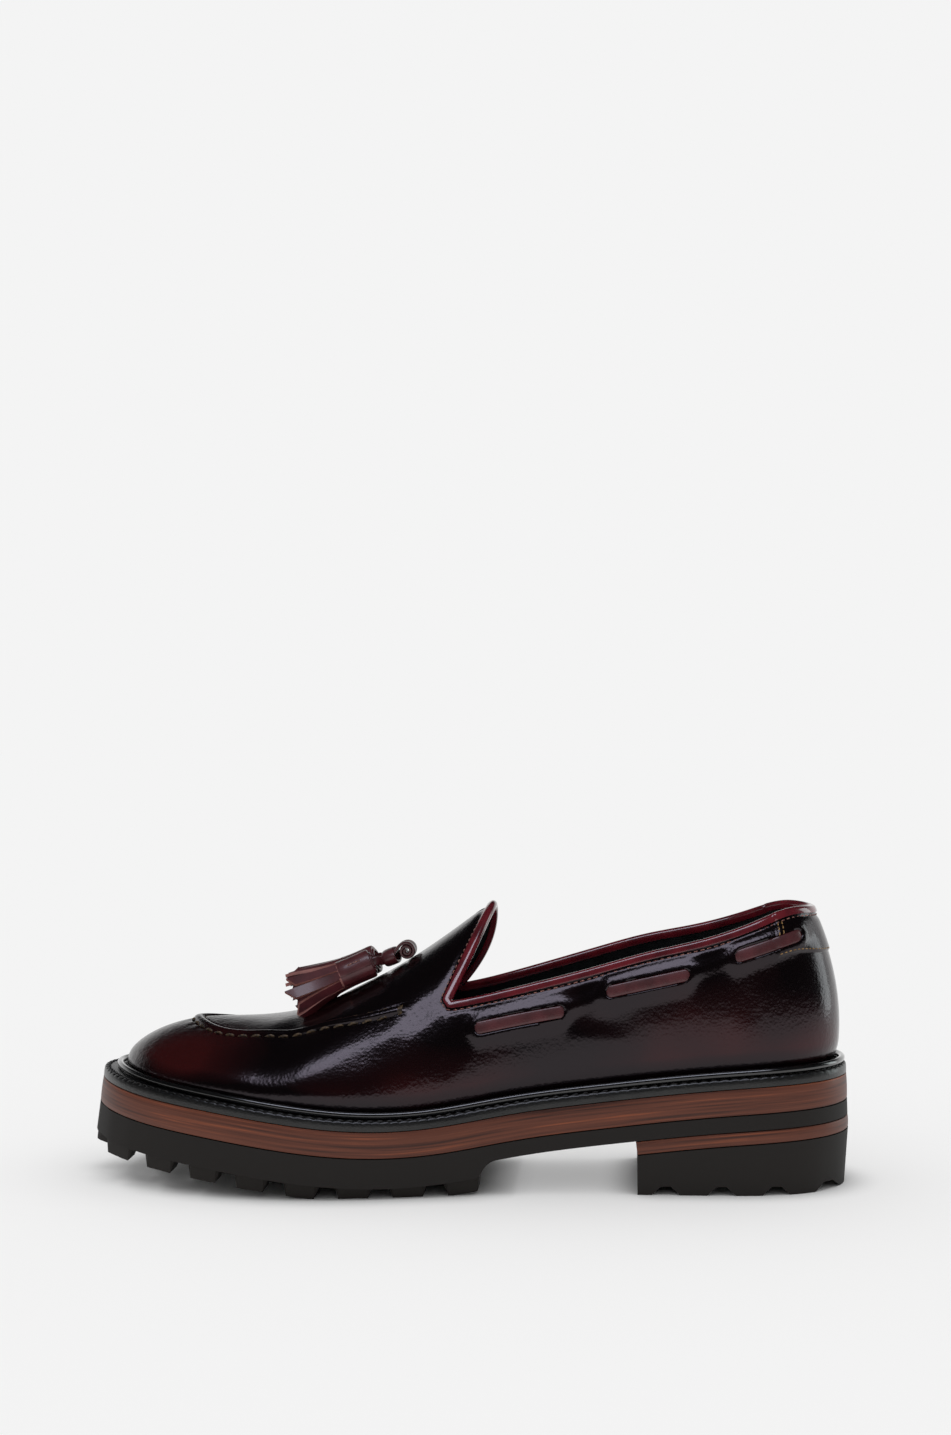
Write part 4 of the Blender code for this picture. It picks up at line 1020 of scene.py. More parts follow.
def rim_frame():
    """Points of the rim, outward normals, and directions along the wall into the opening."""
    a, t, side = collar_loop()
    normal = last_normal(a, t)
    base = last_point(a, t)
    tab = tab_relief(base[:, 0], base[:, 2], side)
    point = base + normal * tab[:, None]
    along = unit(np.roll(point, -1, axis=0) - np.roll(point, 1, axis=0))
    return point, normal, unit(np.cross(along, normal))


def make_binding(leather):
    """Edge binding: a strip folded round the rim, fuller at its top and pinched by its stitches."""
    point, normal, inward = rim_frame()
    half = WALL / 2 + BINDING_PROUD
    foot = 0.45 * BINDING_HEIGHT
    turn = np.linspace(0, np.pi, 15)
    section = [(half * 0.9, -0.5 * MM), (half, 0.0), (half * 1.02, foot / 2)]
    section += [(half * np.cos(w), foot + (BINDING_HEIGHT - foot) * np.sin(w)) for w in turn]
    section += [(-half * 1.02, foot / 2), (-half, 0.0), (-half * 0.9, -0.5 * MM)]
    section += [(0.0, -0.5 * MM), section[0]]
    rows = np.stack(
        [point + normal * (out - WALL / 2) + inward * (GAP + up) for out, up in section], axis=1
    )
    shell = Shell()
    shell.grid(np.concatenate([rows, rows[:1]]))
    return shell.piece("collar_edge", [leather], ["collar_binding"], "binding_leather", sharp=50)


def make_collar_stitches(material):
    """Row of small stitches just below the binding, all the way round."""
    point, normal, inward = rim_frame()
    path = point - inward * BINDING_STITCH_IN - normal * 0.22 * MM
    path, normal = np.concatenate([path, path[:1]]), np.concatenate([normal, normal[:1]])
    shell = Shell()
    stitches(shell, path, normal, FINE_STITCH, FINE_STITCH * 0.7, FINE_THREAD)
    return shell.piece("collar_stitches", [material], sharp=80)


# Lace
def wall_place(x, rise, side):
    """a and t of the wall's points at places x and rises over the welt, found step by step."""
    s = (x - REAR_U) / (TOE_U - REAR_U)
    for _ in range(30):
        a = around(s, side)

        def above(t):
            point = last_point(a, t)
            return point[..., 2] - welt_height(point[..., 0]) - rise

        t = solve(above, np.zeros_like(a), np.full_like(a, 0.9))
        s = np.clip(s + (x - last_point(a, t)[..., 0]) / (TOE_U - REAR_U), 0.001, 0.999)
    return a, t


def make_lace_bar(number, row, side, leather):
    """Flat lace in its window; its ends dive under the leather."""
    rear, _, front, _ = row
    x = np.linspace(place(rear) - BAR_PAST, place(front) + BAR_PAST, 40)
    a, t = wall_place(x, lace_line(x), side)
    point, normal = last_point(a, t), last_normal(a, t)
    tab = tab_relief(point[:, 0], point[:, 2], side)
    from_end = np.minimum(x - x[0], x[-1] - x)
    dive = 1 - smooth_step(from_end / (BAR_PAST + 1.6 * MM))
    height = GAP + tab + LACE_THICKNESS * 0.15 - BAR_DIVE * dive
    path = point + normal * height[:, None]
    word = side_word(side)
    shell = Shell()
    strap(shell, path, normal, strap_section(LACE_WIDTH, LACE_THICKNESS * 0.9))
    return shell.piece(
        f"lace_window_{word}_{number}", [leather], [f"lace_bar_{word}_{number}"], "lace_leather",
    )


def ridge_frame(along):
    """Point of the ridge, its outward normal and its direction towards the toe."""
    x = place(along)
    rise, slope = RIDGE_CURVE(x)
    slope = slope + UNDERSIDE_CURVE(x)[1]
    length = np.hypot(1.0, slope)
    point = np.array([x, -RIDGE_OFFSET, rise + welt_height(x)])
    return point, np.array([-slope, 0, 1]) / length, np.array([1, 0, slope]) / length


def tassel_frame(side):
    """Start of a tassel's cap, and its axis, its across and its up directions."""
    ridge = ridge_frame(CAP_ALONG)[0]
    start = ridge + np.array([0, side * TASSEL_SIDE, CAP_CLEARANCE])
    splay = side * TASSEL_SPLAY
    axis = np.array([
        np.cos(TASSEL_DROP) * np.cos(splay), np.cos(TASSEL_DROP) * np.sin(splay),
        -np.sin(TASSEL_DROP),
    ])
    across = np.array([-np.sin(splay), np.cos(splay), 0.0])
    return start, axis, across, np.cross(axis, across)


def knot_place(rows):
    """World points of rows of distance along the ridge, across it and up from the knot's middle."""
    point, up, along = ridge_frame(KNOT_ALONG)
    centre = point + up * (1.7 * GAP + KNOT_SIZE[2] / 2)
    rows = np.asarray(rows)
    return centre + rows[:, :1] * along + rows[:, 1:2] * [0, 1, 0] + rows[:, 2:] * up


def tie_path(side):
    """Route of one half of the lace: rolled up two turns, under the band, to its tassel.

    The roll is a spiral: its radius grows evenly with its angle, and its axis lies across the shoe."""
    turn = np.linspace(0, 1, 18)
    angle = np.pi / 2 + 4 * np.pi * (1 - turn)
    radius = KNOT_ROLL_START + (KNOT_ROLL - KNOT_ROLL_START) * turn
    lane = side * TIE_LANE
    middle, high = KNOT_ROLL_MIDDLE
    roll = np.stack([
        middle + radius * np.cos(angle), np.full_like(turn, lane), high + radius * np.sin(angle),
    ], axis=1)
    onwards = [(-0.4 * MM, lane, 2.0 * MM), (1.6 * MM, lane, 1.0 * MM), (3.6 * MM, lane, 0.4 * MM),
               (5.6 * MM, side * 2.8 * MM, 0.5 * MM)]
    start, axis, across, _ = tassel_frame(side)
    route = knot_place(np.concatenate([roll, onwards]))
    route = np.concatenate([route, [start - axis * 1.2 * MM, start + axis * 0.8 * MM]])
    way = way_along(route)
    curve = [natural_spline(way, route[:, k]) for k in range(3)]
    at = np.linspace(0, way[-1], 110)
    path = np.stack([c(at)[0] for c in curve], axis=1)
    tangent = unit(np.gradient(path, axis=0))
    out = unit(np.cross(tangent, np.array([0.0, 1.0, 0.0])))
    calm = smooth_step((at / way[-1] - 0.74) / 0.16)[:, None]
    return path, unit(out * (1 - calm) + across * calm)


def make_tie(side, leather):
    """One half of the lace, a flat strap from the knot's roll to its tassel."""
    path, up = tie_path(side)
    word = side_word(side)
    w = np.linspace(0, 1, len(path))
    narrow = 1 - 0.25 * smooth_step((w - 0.70) / 0.15)
    section = strap_section(LACE_WIDTH, TIE_THICKNESS)
    shell = Shell()
    strap(shell, path, up, section[None] * np.stack([narrow, np.ones_like(w)], -1)[:, None])
    nodes = ["lace_knot", "lace_neck_lateral"] if side > 0 else ["lace_neck_medial"]
    piece = shell.piece(f"lace_tie_{word}", [leather], nodes, "lace_leather")
    return piece


def make_knot_band(leather):
    """Strap wound round both halves of the lace: an oval loop that leans a little."""
    turn = np.linspace(0, 2 * np.pi, 65)
    rows = np.stack([
        3.5 * MM + 0.7 * MM * np.cos(turn + 0.6), 5.0 * MM * np.cos(turn),
        0.35 * MM + 2.5 * MM * np.sin(turn),
    ], axis=1)
    path = knot_place(rows)
    up = unit(path - path[:-1].mean(axis=0))
    rows = carried(path, up, strap_section(BAND_WIDTH, TIE_THICKNESS))
    rows[-1] = rows[0] = (rows[0] + rows[-1]) / 2
    shell = Shell()
    shell.grid(rows)
    return shell.piece("lace_knot_band", [leather], slot="lace_leather")


def tassel_point(side, distance, turn, radius):
    """Point of a tassel: a distance down its axis, then out by the radius at the turn round it."""
    start, axis, across, up = tassel_frame(side)
    return (
        start + axis * distance[..., None] + across * (radius * np.cos(turn))[..., None]
        + up * (radius * np.sin(turn))[..., None]
    )


def wrap_cap(shell, side):
    """Cap, a wound strip: a turned profile whose radius steps by its thickness where it laps over."""
    turn = np.linspace(0, 2 * np.pi, 73)
    lap = CAP_WALL * smooth_step((turn - 5.55) / 0.12)
    length, full = TASSEL_CAP_LENGTH, TASSEL_RADIUS - 0.3 * MM
    profile = [(0.0, 0.55), (0.0, 0.90), (0.3 * MM, 0.97), (1.2 * MM, 1.0)]
    profile += [(length * k, 1.0 - 0.02 * np.sin(np.pi * k)) for k in (0.3, 0.5, 0.7)]
    profile += [(length - 0.7 * MM, 1.02), (length, 0.95), (length, 0.80)]
    rows = [tassel_point(side, np.full_like(turn, d), turn, full * part + lap) for d, part in profile]
    for distance, radius in ((length - 2 * MM, CAP_BORE), (2 * MM, 2.6 * MM)):
        rows.append(tassel_point(side, np.full_like(turn, distance), turn, np.full_like(turn, radius)))
    shell.grid(np.stack(rows[:8]))
    shell.grid(np.stack(rows[7:] + rows[:1]), slot=1)


def roll_core(shell, side):
    """Rolled core, seen at the cap's rear end: two turned rings with rounded rims."""
    turn = np.linspace(0, 2 * np.pi, 49)
    front, round_off = 2.5 * MM, 0.2 * MM
    for radius, reach in ((CAP_BORE, -0.5 * MM), (2.7 * MM, 0.5 * MM)):
        inner = radius - CORE_WALL
        profile = [
            (front, radius), (reach + round_off, radius), (reach, radius - round_off),
            (reach, inner + round_off), (reach + round_off, inner), (front, inner), (front, radius),
        ]
        shell.grid(np.stack([
            tassel_point(side, np.full_like(turn, d), turn, np.full_like(turn, r)) for d, r in profile
        ]))


def hang_strips(shell, side):
    """Fringe: an outer and an inner ring of strips, and one that hangs lower.

    A strip starts inside the cap, spreads with the power 1.3 of its length, twists a little and widens
    to its end, which is cut at a slant."""
    start, axis, across, up = tassel_frame(side)
    chance = np.random.default_rng(11 + side)
    strips = [(2 * np.pi * i / OUTER_STRIPS + 0.2, 4.6 * MM, 1.0, 1.0) for i in range(OUTER_STRIPS)]
    strips += [(2 * np.pi * i / INNER_STRIPS, 2.7 * MM, 0.55, 0.97) for i in range(INNER_STRIPS)]
    strips.append((-1.05 if side > 0 else -2.1, 4.2 * MM, 1.75, 1.04))
    inside = 1.5 * MM
    w = np.linspace(0, 1, 15)
    for angle, radius, spread, long in strips:
        angle = angle + chance.normal(0, 0.06)
        length = FRINGE_LENGTH * long * (1 + chance.uniform(-0.07, 0.05))
        flare = spread * (1 + chance.normal(0, 0.12))
        wide = radius + (FRINGE_SPREAD[0] - radius) * flare * w**1.3 * 0.85
        deep = radius + (FRINGE_SPREAD[1] - radius) * flare * w**1.3 * 0.95
        sway = angle + chance.normal(0, 0.08) * w**2
        path = (
            start + axis * (TASSEL_CAP_LENGTH - inside + (length + inside) * w)[:, None]
            + across * (wide * np.cos(sway))[:, None] + up * (deep * np.sin(sway))[:, None]
        )
        out = across * np.cos(angle) + up * np.sin(angle)
        out = unit(out + np.cross(axis, out) * (chance.normal(0, 0.3) * w)[:, None])
        width = (2.9 + 1.3 * w) * MM
        half_thick = 0.6 * MM
        section = np.stack([
            np.stack([k * width, np.full_like(w, h * half_thick)], axis=-1)
            for k, h in ((-0.5, -1), (0.5, -1), (0.5, 1), (-0.5, 1), (-0.5, -1))
        ], axis=1)
        rows = carried(path, out, section)
        lean = chance.choice([-1, 1]) * CUT_SLANT
        rows[-1] += axis * (np.array([-1, 1, 1, -1, -1]) * lean)[:, None]
        for face, material_slot in enumerate((0, 1, 0, 1)):
            shell.grid(rows[:, face:face + 2], slot=material_slot)
        for end in (0, -1):
            shell.grid(rows[end, [0, 1, 3, 2]].reshape(2, 2, 3), slot=1)


def make_tassel(side, leather, cut, thread_material):
    """Wound cap, its rolled core and its fringe, and the plain bar of stitches that holds the lap."""
    word = side_word(side)
    shell = Shell()
    wrap_cap(shell, side)
    roll_core(shell, side)
    hang_strips(shell, side)
    piece = shell.piece(
        f"tassel_cap_and_fringe_{word}", [leather, cut], [f"tassel_{word}"], "lace_leather", sharp=35,
    )
    _, _, across, up = tassel_frame(side)
    turn = np.full(12, 0.62 if side > 0 else 2.5)
    along = np.linspace(3.6 * MM, 9.4 * MM, 12)
    path = tassel_point(side, along, turn, np.full(12, TASSEL_RADIUS - 0.2 * MM))
    out = across * np.cos(turn[0]) + up * np.sin(turn[0])
    bar = Shell()
    stitches(bar, path, np.broadcast_to(out, path.shape), 1.0 * MM, 0.95 * MM, 0.22 * MM)
    bar.piece(f"tassel_stitches_{word}", [thread_material], sharp=80)
    return piece


# Threads on the upper
def make_apron_stitches(material):
    """Hand stitches along the outer foot of the ridge, and smaller ones along its inner foot."""
    shell = Shell()
    for side in (1, -1):
        s = np.linspace(1.0, float(THROAT_S), 700)
        a = around(s, side)
        row = front_row(s, side)
        for away, pitch, radius, lean, lift in (
            (-1.06, APRON_STITCH, APRON_THREAD, 1.0 * MM, 0.42 * MM),
            (1.10, APRON_STITCH, APRON_THREAD * 0.7, 0.5 * MM, 0.24 * MM),
        ):
            t = row + away * SEAM_WIDTH / 2 / row_speed(a, row)
            point, normal = upper_point(a, np.clip(t, 0, 1), side)
            kept = point[:, 0] > place(SEAM_END) + 1.0 * MM
            stitches(
                shell, point[kept], normal[kept], pitch, pitch * 0.84, radius,
                lean=lean * side, lift=lift,
            )
        # bar tack across the ridge's rear end
        a_end = np.interp(place(SEAM_END) + 1.6 * MM, point[::-1, 0], a[::-1])
        t_end = np.interp(place(SEAM_END) + 1.6 * MM, point[::-1, 0], row[::-1])
        for shift in (0.0, 0.0009, 0.0018):
            t = t_end + np.linspace(-1.25, 1.25, 16) * SEAM_WIDTH / 2 / row_speed(a_end, t_end)
            at = np.full_like(t, a_end + side * shift)
            bar, normal = upper_point(at, t, side)
            stitches(shell, bar, normal, 4.4 * MM, 4.2 * MM, APRON_THREAD * 0.7, lift=0.2 * MM)
    return shell.piece("apron_stitches", [material], sharp=80)


def make_tab_stitches(material):
    """Gold stitches: two rows down the tab's front edge, one along its lower edge."""
    shell = Shell()
    for side in (1, -1):
        for inside in (0.9 * MM, 2.3 * MM):
            w = np.linspace(0, 1, 40)
            x = np.full(40, place(0) + TAB_REACH - inside)
            rise = collar_rise(x, side) - 0.8 * MM - w * 5.6 * MM
            a, t = wall_place(x, rise, side)
            point, normal = upper_point(a, t, side)
            stitches(shell, point, normal, 2.0 * MM, 1.5 * MM, FINE_THREAD * 1.1, lift=0.06 * MM)
        x = np.linspace(place(0) + TAB_REACH - 0.8 * MM, place(0.012), 80)
        rise = collar_rise(x, side) - TAB_DEPTH + 1.0 * MM
        a, t = wall_place(x, rise, side)
        point, normal = upper_point(a, t, side)
        stitches(shell, point, normal, 1.9 * MM, 1.35 * MM, FINE_THREAD, lift=0.05 * MM)
    return shell.piece("tab_stitches", [material], sharp=80)


# Sole
def perimeter():
    """Metres round the sole's plan."""
    u, y, _ = inset_outline(np.linspace(0, 1, 2001), 0.0, 0.0)
    return way_along(np.stack([u, y], axis=1))[-1]


PERIMETER = perimeter()


def ring(name, material, section, replaces, slot, lean=0.0, count=520, wave=None, sharp=45):
    """Closed ring round the plan: rows of inset, shelf, height and share of the wave's relief."""
    shell = Shell()
    a = np.linspace(0, 1, count + 1)
    bulge = inset_outline(a)[2][..., 3]
    ripple = 0.0 if wave is None else wave(a)
    loops, maps = [], []
    for inset, shelf, height, share_of in section + section[:1]:
        u, y, _ = inset_outline(a, inset - lean * bulge, shelf)
        loops.append(sole_point(u, y, height + ripple * share_of))
        maps.append(np.stack([a * PERIMETER, np.full_like(a, height + inset)], axis=-1))
    shell.grid(np.stack(loops, axis=1), np.stack(maps, axis=1))
    return shell.piece(name, [material], replaces, slot, sharp=sharp)


def make_welt(leather):
    """Welt strip: rounded edge, and a shallow channel wheeled with notches for its stitches."""
    low, high = MIDSOLE_THICKNESS + GAP, WELT_TOP
    count = round(PERIMETER / WELT_STITCH)
    section = [
        (0.0, 0, low, 0), (-0.05 * MM, 0, low + 1.2 * MM, 0), (0.0, 0, high - 0.9 * MM, 0.3),
        (0.25 * MM, 0, high - 0.3 * MM, 0.8), (0.7 * MM, 0, high - 0.02 * MM, 1.0),
        (1.1 * MM, 0, high - 0.10 * MM, 1.0), (1.7 * MM, 0, high - 0.38 * MM, 0.7),
        (2.3 * MM, 0, high - 0.10 * MM, 0.2), (2.9 * MM, 0, high, 0),
        (WALL, 1, high, 0), (WALL, 1, low, 0),
    ]
    return ring(
        "welt_strip", leather, section, ["welt"], "black_leather", count=count * 8,
        wave=lambda a: -0.28 * MM * (0.5 + 0.5 * np.cos(2 * np.pi * count * a)) ** 3,
    )


def make_welt_stitches(material):
    """Threads in the welt's channel, one from each notch to the next."""
    count = round(PERIMETER / WELT_STITCH)
    a = np.linspace(0, 1, 3001)
    u, y, _ = inset_outline(a, 1.65 * MM, 0.0)
    path = sole_point(u, y, WELT_TOP - 0.25 * MM)
    up = unit(sole_point(u, y, WELT_TOP + MM) - path)
    way = way_along(path)[-1]
    shell = Shell()
    pitch = way / count * 0.99999
    stitches(shell, path, up, pitch, pitch * 0.86, WELT_THREAD, lift=0.12 * MM)
    return shell.piece("welt_stitches", [material], sharp=80)


def make_rand(leather):
    """Bead of leather laid on the welt against the upper."""
    out, up = 1.5 * GAP + RAND_RADIUS, WELT_TOP + GAP + RAND_RADIUS
    section = [
        (-out + RAND_RADIUS * np.cos(w), 1, up + RAND_RADIUS * np.sin(w), 0)
        for w in np.linspace(0, 2 * np.pi, 20, endpoint=False)
    ]
    return ring("bead", leather, section, ["rand"], "black_leather", lean=0.16)


def slab(name, materials, profile, replaces, slot, last=1.0, shelf=0.0, count=260, sharp=40):
    """Layer of the sole: rows of inset and height from its top's rim, over its edge, to its bottom's."""
    shell = Shell()
    s = np.linspace(0, 1, count)
    eased = (1 - np.cos(np.pi * s)) / 2 if last == 1.0 else s**2
    rims = {}
    for side in (1, -1):
        a = around(eased * last, side, 0.0, shelf)
        loops, maps = [], []
        for inset, height in profile:
            u, y, _ = inset_outline(a, inset, shelf)
            loops.append(sole_point(u, y, height))
            maps.append(np.stack([a * PERIMETER, np.full_like(a, height)], axis=-1))
        rims[side] = np.stack(loops, axis=1)
        shell.grid(rims[side], np.stack(maps, axis=1))
    for level in (0, -1):
        shell.grid(np.stack([rims[1][:, level], rims[-1][:, level]], axis=1))
    if last < 1.0:
        face = np.stack([rims[1][-1], rims[-1][-1]])
        maps = np.stack([face[..., 1], face[..., 2]], axis=-1)
        shell.grid(face, maps)
    return shell.piece(name, materials, replaces, slot, sharp=sharp)


def edge_profile(bottom, top, ease=0.35 * MM, swell=0.12 * MM, depth=1.2 * MM):
    """Edge of a layer: flat rims, eased corners and a slight swell."""
    height = top - bottom
    rows = [(depth, top), (ease, top), (ease * 0.3, top - ease * 0.3), (0.0, top - ease)]
    rows += [(-swell * np.sin(np.pi * k), top - ease - (height - 2 * ease) * k)
             for k in (0.25, 0.5, 0.75)]
    rows += [(0.0, bottom + ease), (ease * 0.3, bottom + ease * 0.3), (ease, bottom), (depth, bottom)]
    return rows


def make_stacked_layers(leather):
    """Midsole over the whole sole, and the lift between the rubber and the heel block."""
    slab("stacked_midsole", [leather], edge_profile(0.0, MIDSOLE_THICKNESS), ["midsole"],
         "stacked_leather")
    top = -WAIST_THICKNESS - GAP
    slab("stacked_lift", [leather], edge_profile(top + GAP - LIFT_THICKNESS, top), ["heel_lift"],
         "stacked_leather", last=HEEL_BREAST / SOLE_LENGTH, count=90)


def make_sock(leather):
    """Sock on the insole: its top sinks 0.4 mm towards its middle, and its rim is eased."""
    inset = WALL + 1.4 * GAP
    low, high = MIDSOLE_THICKNESS + GAP, WELT_TOP + INSOLE_RISE
    profile = [
        (inset + 6 * MM, high - 0.4 * MM), (inset + 2 * MM, high - 0.15 * MM),
        (inset + 0.4 * MM, high), (inset, high - 0.4 * MM), (inset, low), (inset + MM, low),
    ]
    slab("sock", [leather], profile, ["insole"], "lining_leather", shelf=1.0)


def cross_columns(width):
    """Places across the tread in metres from its lateral edge, and whether each is on a side lug
    or on a middle one."""
    scale = np.minimum(1.0, width / FULL_TREAD)
    inner = LUG_INSET + SIDE_LUG_WIDTH
    middle = inner + LUG_FLANK + LUG_GROOVE
    side_lug = [
        (0.0, 0, 0), (LUG_INSET, 0, 0), (LUG_INSET + LUG_FLANK, 1, 0), (inner, 1, 0),
        (inner + LUG_FLANK, 0, 0), (middle, 0, 0), (middle + LUG_FLANK, 0, 1),
    ]
    from_lateral = [distance * scale for distance, _, _ in side_lug]
    from_medial = [width - distance * scale for distance, _, _ in side_lug[::-1]]
    kinds = np.array([row[1:] for row in side_lug + side_lug[::-1]])
    return np.stack(from_lateral + from_medial, axis=-1), kinds[:, 0], kinds[:, 1]


def lug_share(u, shift):
    """1 on a lug, 0 between two, straight on its flanks; shift moves the row of lugs forward."""
    start = place(1) - TREAD_LENGTH
    count = int(TREAD_LENGTH / LUG_PITCH)
    foot = start + shift + LUG_PITCH * np.floor((u - start - shift) / LUG_PITCH)
    into = np.minimum(u - foot, foot + LUG_LENGTH - u)
    kept = (foot > start - MM) & (foot < start + (count - 0.4) * LUG_PITCH)
    return np.clip(into / LUG_FLANK, 0, 1) * kept


def tread_lines():
    """Places along the underside, and the rubber's thickness there without its lugs."""
    start = place(1) - TREAD_LENGTH
    step = TREAD_WALL - WAIST_THICKNESS
    curve_start = start - WAIST_CURVE * step
    lines = [(place(0) + (curve_start - place(0)) * k**1.6, WAIST_THICKNESS)
             for k in np.linspace(0, 1, 60)[:-1]]
    lines += [(curve_start + WAIST_CURVE * step * w, WAIST_THICKNESS + step * w**2.5)
              for w in np.linspace(0, 1, 12)[:-1]]
    count = int(TREAD_LENGTH / LUG_PITCH)
    marks = np.array([0.0, LUG_FLANK, LUG_LENGTH - LUG_FLANK, LUG_LENGTH])
    half_on = marks + LUG_PITCH / 2
    every = np.unique(np.round(np.concatenate([marks, half_on % LUG_PITCH]), 7))
    for i in range(count):
        lines += [(start + i * LUG_PITCH + mark, TREAD_WALL) for mark in every]
    last = start + count * LUG_PITCH
    lines += [(last + (place(1) - last) * (1 - (1 - k) ** 2), TREAD_WALL)
              for k in np.linspace(0, 1, 26)]
    return [np.array(values, float) for values in zip(*lines)]


def make_outsole(rubber):
    """Rubber sole: thin at the waist and heel, stepped down to a thick, lugged forefoot."""
    u, thick = tread_lines()
    edges = {}
    for side in (1, -1):
        a = around(share(u), side, 0.0, 0.0)
        edges[side] = inset_outline(a, 0.0, 0.0)[:2]
    width = edges[1][1] - edges[-1][1]
    across, on_side, on_middle = cross_columns(width)
    w = across / np.maximum(width, 1e-6)[:, None]
    w[width < 1e-6] = 0.0
    along = edges[1][0][:, None] * (1 - w) + edges[-1][0][:, None] * w
    y = edges[1][1][:, None] - across
    lugs = lug_share(u, 0.0)[:, None] * on_side + lug_share(u, LUG_PITCH / 2)[:, None] * on_middle
    depth = thick[:, None] + LUG_DEPTH * lugs
    bottom = sole_point(along, y, -depth)
    bottom[..., 2] = np.maximum(bottom[..., 2], 0.0)
    shell = Shell()
    shell.grid(bottom)
    top = {side: sole_point(edges[side][0], edges[side][1], -GAP) for side in (1, -1)}
    shell.grid(np.stack([top[1], top[-1]], axis=1))
    for side, column_at in ((1, 0), (-1, -1)):
        low = bottom[:, column_at]
        rows = [top[side] * (1 - k) + low * k for k in (0.0, 0.33, 0.66, 1.0)]
        shell.grid(np.stack(rows, axis=1))
    return shell.piece("lugged_sole", [rubber], ["outsole"], "rubber", sharp=25)


def make_heel_block(rubber):
    """Rubber heel with notches across its underside."""
    half, flat = NOTCH_WIDTH / 2, NOTCH_WIDTH / 6
    front = place(0) + HEEL_BREAST
    marks = []
    for notch in np.arange(front - NOTCH_WIDTH * 1.1, place(0) + HEEL_ROUND + half, -NOTCH_PITCH):
        marks = [(notch - half, 0.0), (notch - flat, NOTCH_DEPTH), (notch + flat, NOTCH_DEPTH),
                 (notch + half, 0.0)] + marks
    rear = marks[0][0]
    lines = [(place(0) + (rear - place(0)) * k**2, 0.0) for k in np.linspace(0, 1, 30)[:-1]]
    marks.append((front, 0.0))
    for (u0, high0), (u1, high1) in zip(marks, marks[1:]):
        lines += [(u0 + (u1 - u0) * k, high0 + (high1 - high0) * k) for k in (0.0, 0.25, 0.5, 0.75)]
    lines.append(marks[-1])
    u, high = (np.array(values) for values in zip(*lines))
    top_n = -WAIST_THICKNESS - LIFT_THICKNESS - GAP
    shell = Shell()
    rims = {}
    for side in (1, -1):
        a = around(share(u), side, 0.0, 0.0)
        plan = inset_outline(a, 0.0, 0.0)
        top = sole_point(plan[0], plan[1], top_n)
        low = inset_outline(a, HEEL_TAPER, 0.0)
        bottom = np.stack([np.minimum(low[0], front), low[1], high], axis=-1)
        bottom[-1, 0] = top[-1, 0]
        rows = [top * (1 - k) + bottom * k for k in (0.0, 0.3, 0.6, 1.0)]
        rims[side] = np.stack(rows, axis=1)
        shell.grid(rims[side])
    shell.grid(np.stack([rims[1][:, 0], rims[-1][:, 0]], axis=1))
    shell.grid(np.stack([rims[1][:, -1], rims[-1][:, -1]], axis=1))
    shell.grid(np.stack([rims[1][-1], rims[-1][-1]]))
    return shell.piece("notched_heel", [rubber], ["heel_block"], "rubber", sharp=25)


# Stage
CAMERA_PLACE = (-58.1 * MM, 797.9 * MM, 165 * MM)
CAMERA_YAW = np.radians(4.0)
FOCAL_PIXELS = 2208
IMAGE_HEIGHT = 1435


def make_camera():
    """Level camera at the photograph's angle; the toe points to the left of the picture."""
    data = bpy.data.cameras.new("camera")
    data.sensor_width = 36.0
    data.lens = FOCAL_PIXELS * 36.0 / IMAGE_HEIGHT
    data.clip_start, data.clip_end = 0.05, 50
    camera = bpy.data.objects.new("camera", data)
    camera.location = Vector(CAMERA_PLACE) + Vector(SHIFT)
    look = Vector((np.sin(CAMERA_YAW), -np.cos(CAMERA_YAW), 0.0))
    camera.rotation_euler = look.to_track_quat("-Z", "Y").to_euler()
    bpy.context.scene.collection.objects.link(camera)
    bpy.context.scene.camera = camera


def make_light(name, place_at, target, size, power, colour):
    """Soft box that only shows in polished surfaces."""
    data = bpy.data.lights.new(name, "AREA")
    data.shape = "RECTANGLE"
    data.size, data.size_y = size
    data.energy = power
    data.color = linear(colour)[:3]
    light = bpy.data.objects.new(name, data)
    light.location = place_at
    light.rotation_euler = (Vector(target) - Vector(place_at)).to_track_quat("-Z", "Y").to_euler()
    light.visible_diffuse = False
    bpy.context.scene.collection.objects.link(light)


FLOOR_SHADE = "#cfcfcf"
BACKGROUND = "#f4f4f4"
DAYLIGHT = 0.9                  # what matt surfaces get from all round


def make_floor():
    """Pale floor that glows a little, so that it meets the background without a line.

    It doesn't glow where something lies close over it, so the grooves between the lugs stay dark."""
    mesh = bpy.data.meshes.new("floor")
    far = 9.0                   # metres, past what the camera sees
    mesh.from_pydata([(-far, -far, 0), (far, -far, 0), (far, far, 0), (-far, far, 0)], [], [(0, 1, 2, 3)])
    floor = bpy.data.objects.new("floor", mesh)
    glow = linear(BACKGROUND)[0] - linear(FLOOR_SHADE)[0] * DAYLIGHT
    material, tree, shader, _ = surface_of(
        "pale floor", Base_Color=linear(FLOOR_SHADE), Roughness=1.0, Specular_IOR_Level=0.0,
        Emission_Color=linear("#ffffff"),
    )
    # painted shade: the floor's glow fades out where something lies close over it, under the sole and
    # between the lugs
    cover = add(tree, "ShaderNodeAmbientOcclusion", {"Distance": 14 * MM}, samples=8)
    open_sky = add(
        tree, "ShaderNodeMapRange", {"From Min": 0.35, "From Max": 0.95, "To Max": glow},
        {"Value": cover.outputs["AO"]},
    )
    tree.links.new(open_sky.outputs["Result"], shader.inputs["Emission Strength"])
    mesh.materials.append(material)
    bpy.context.scene.collection.objects.link(floor)


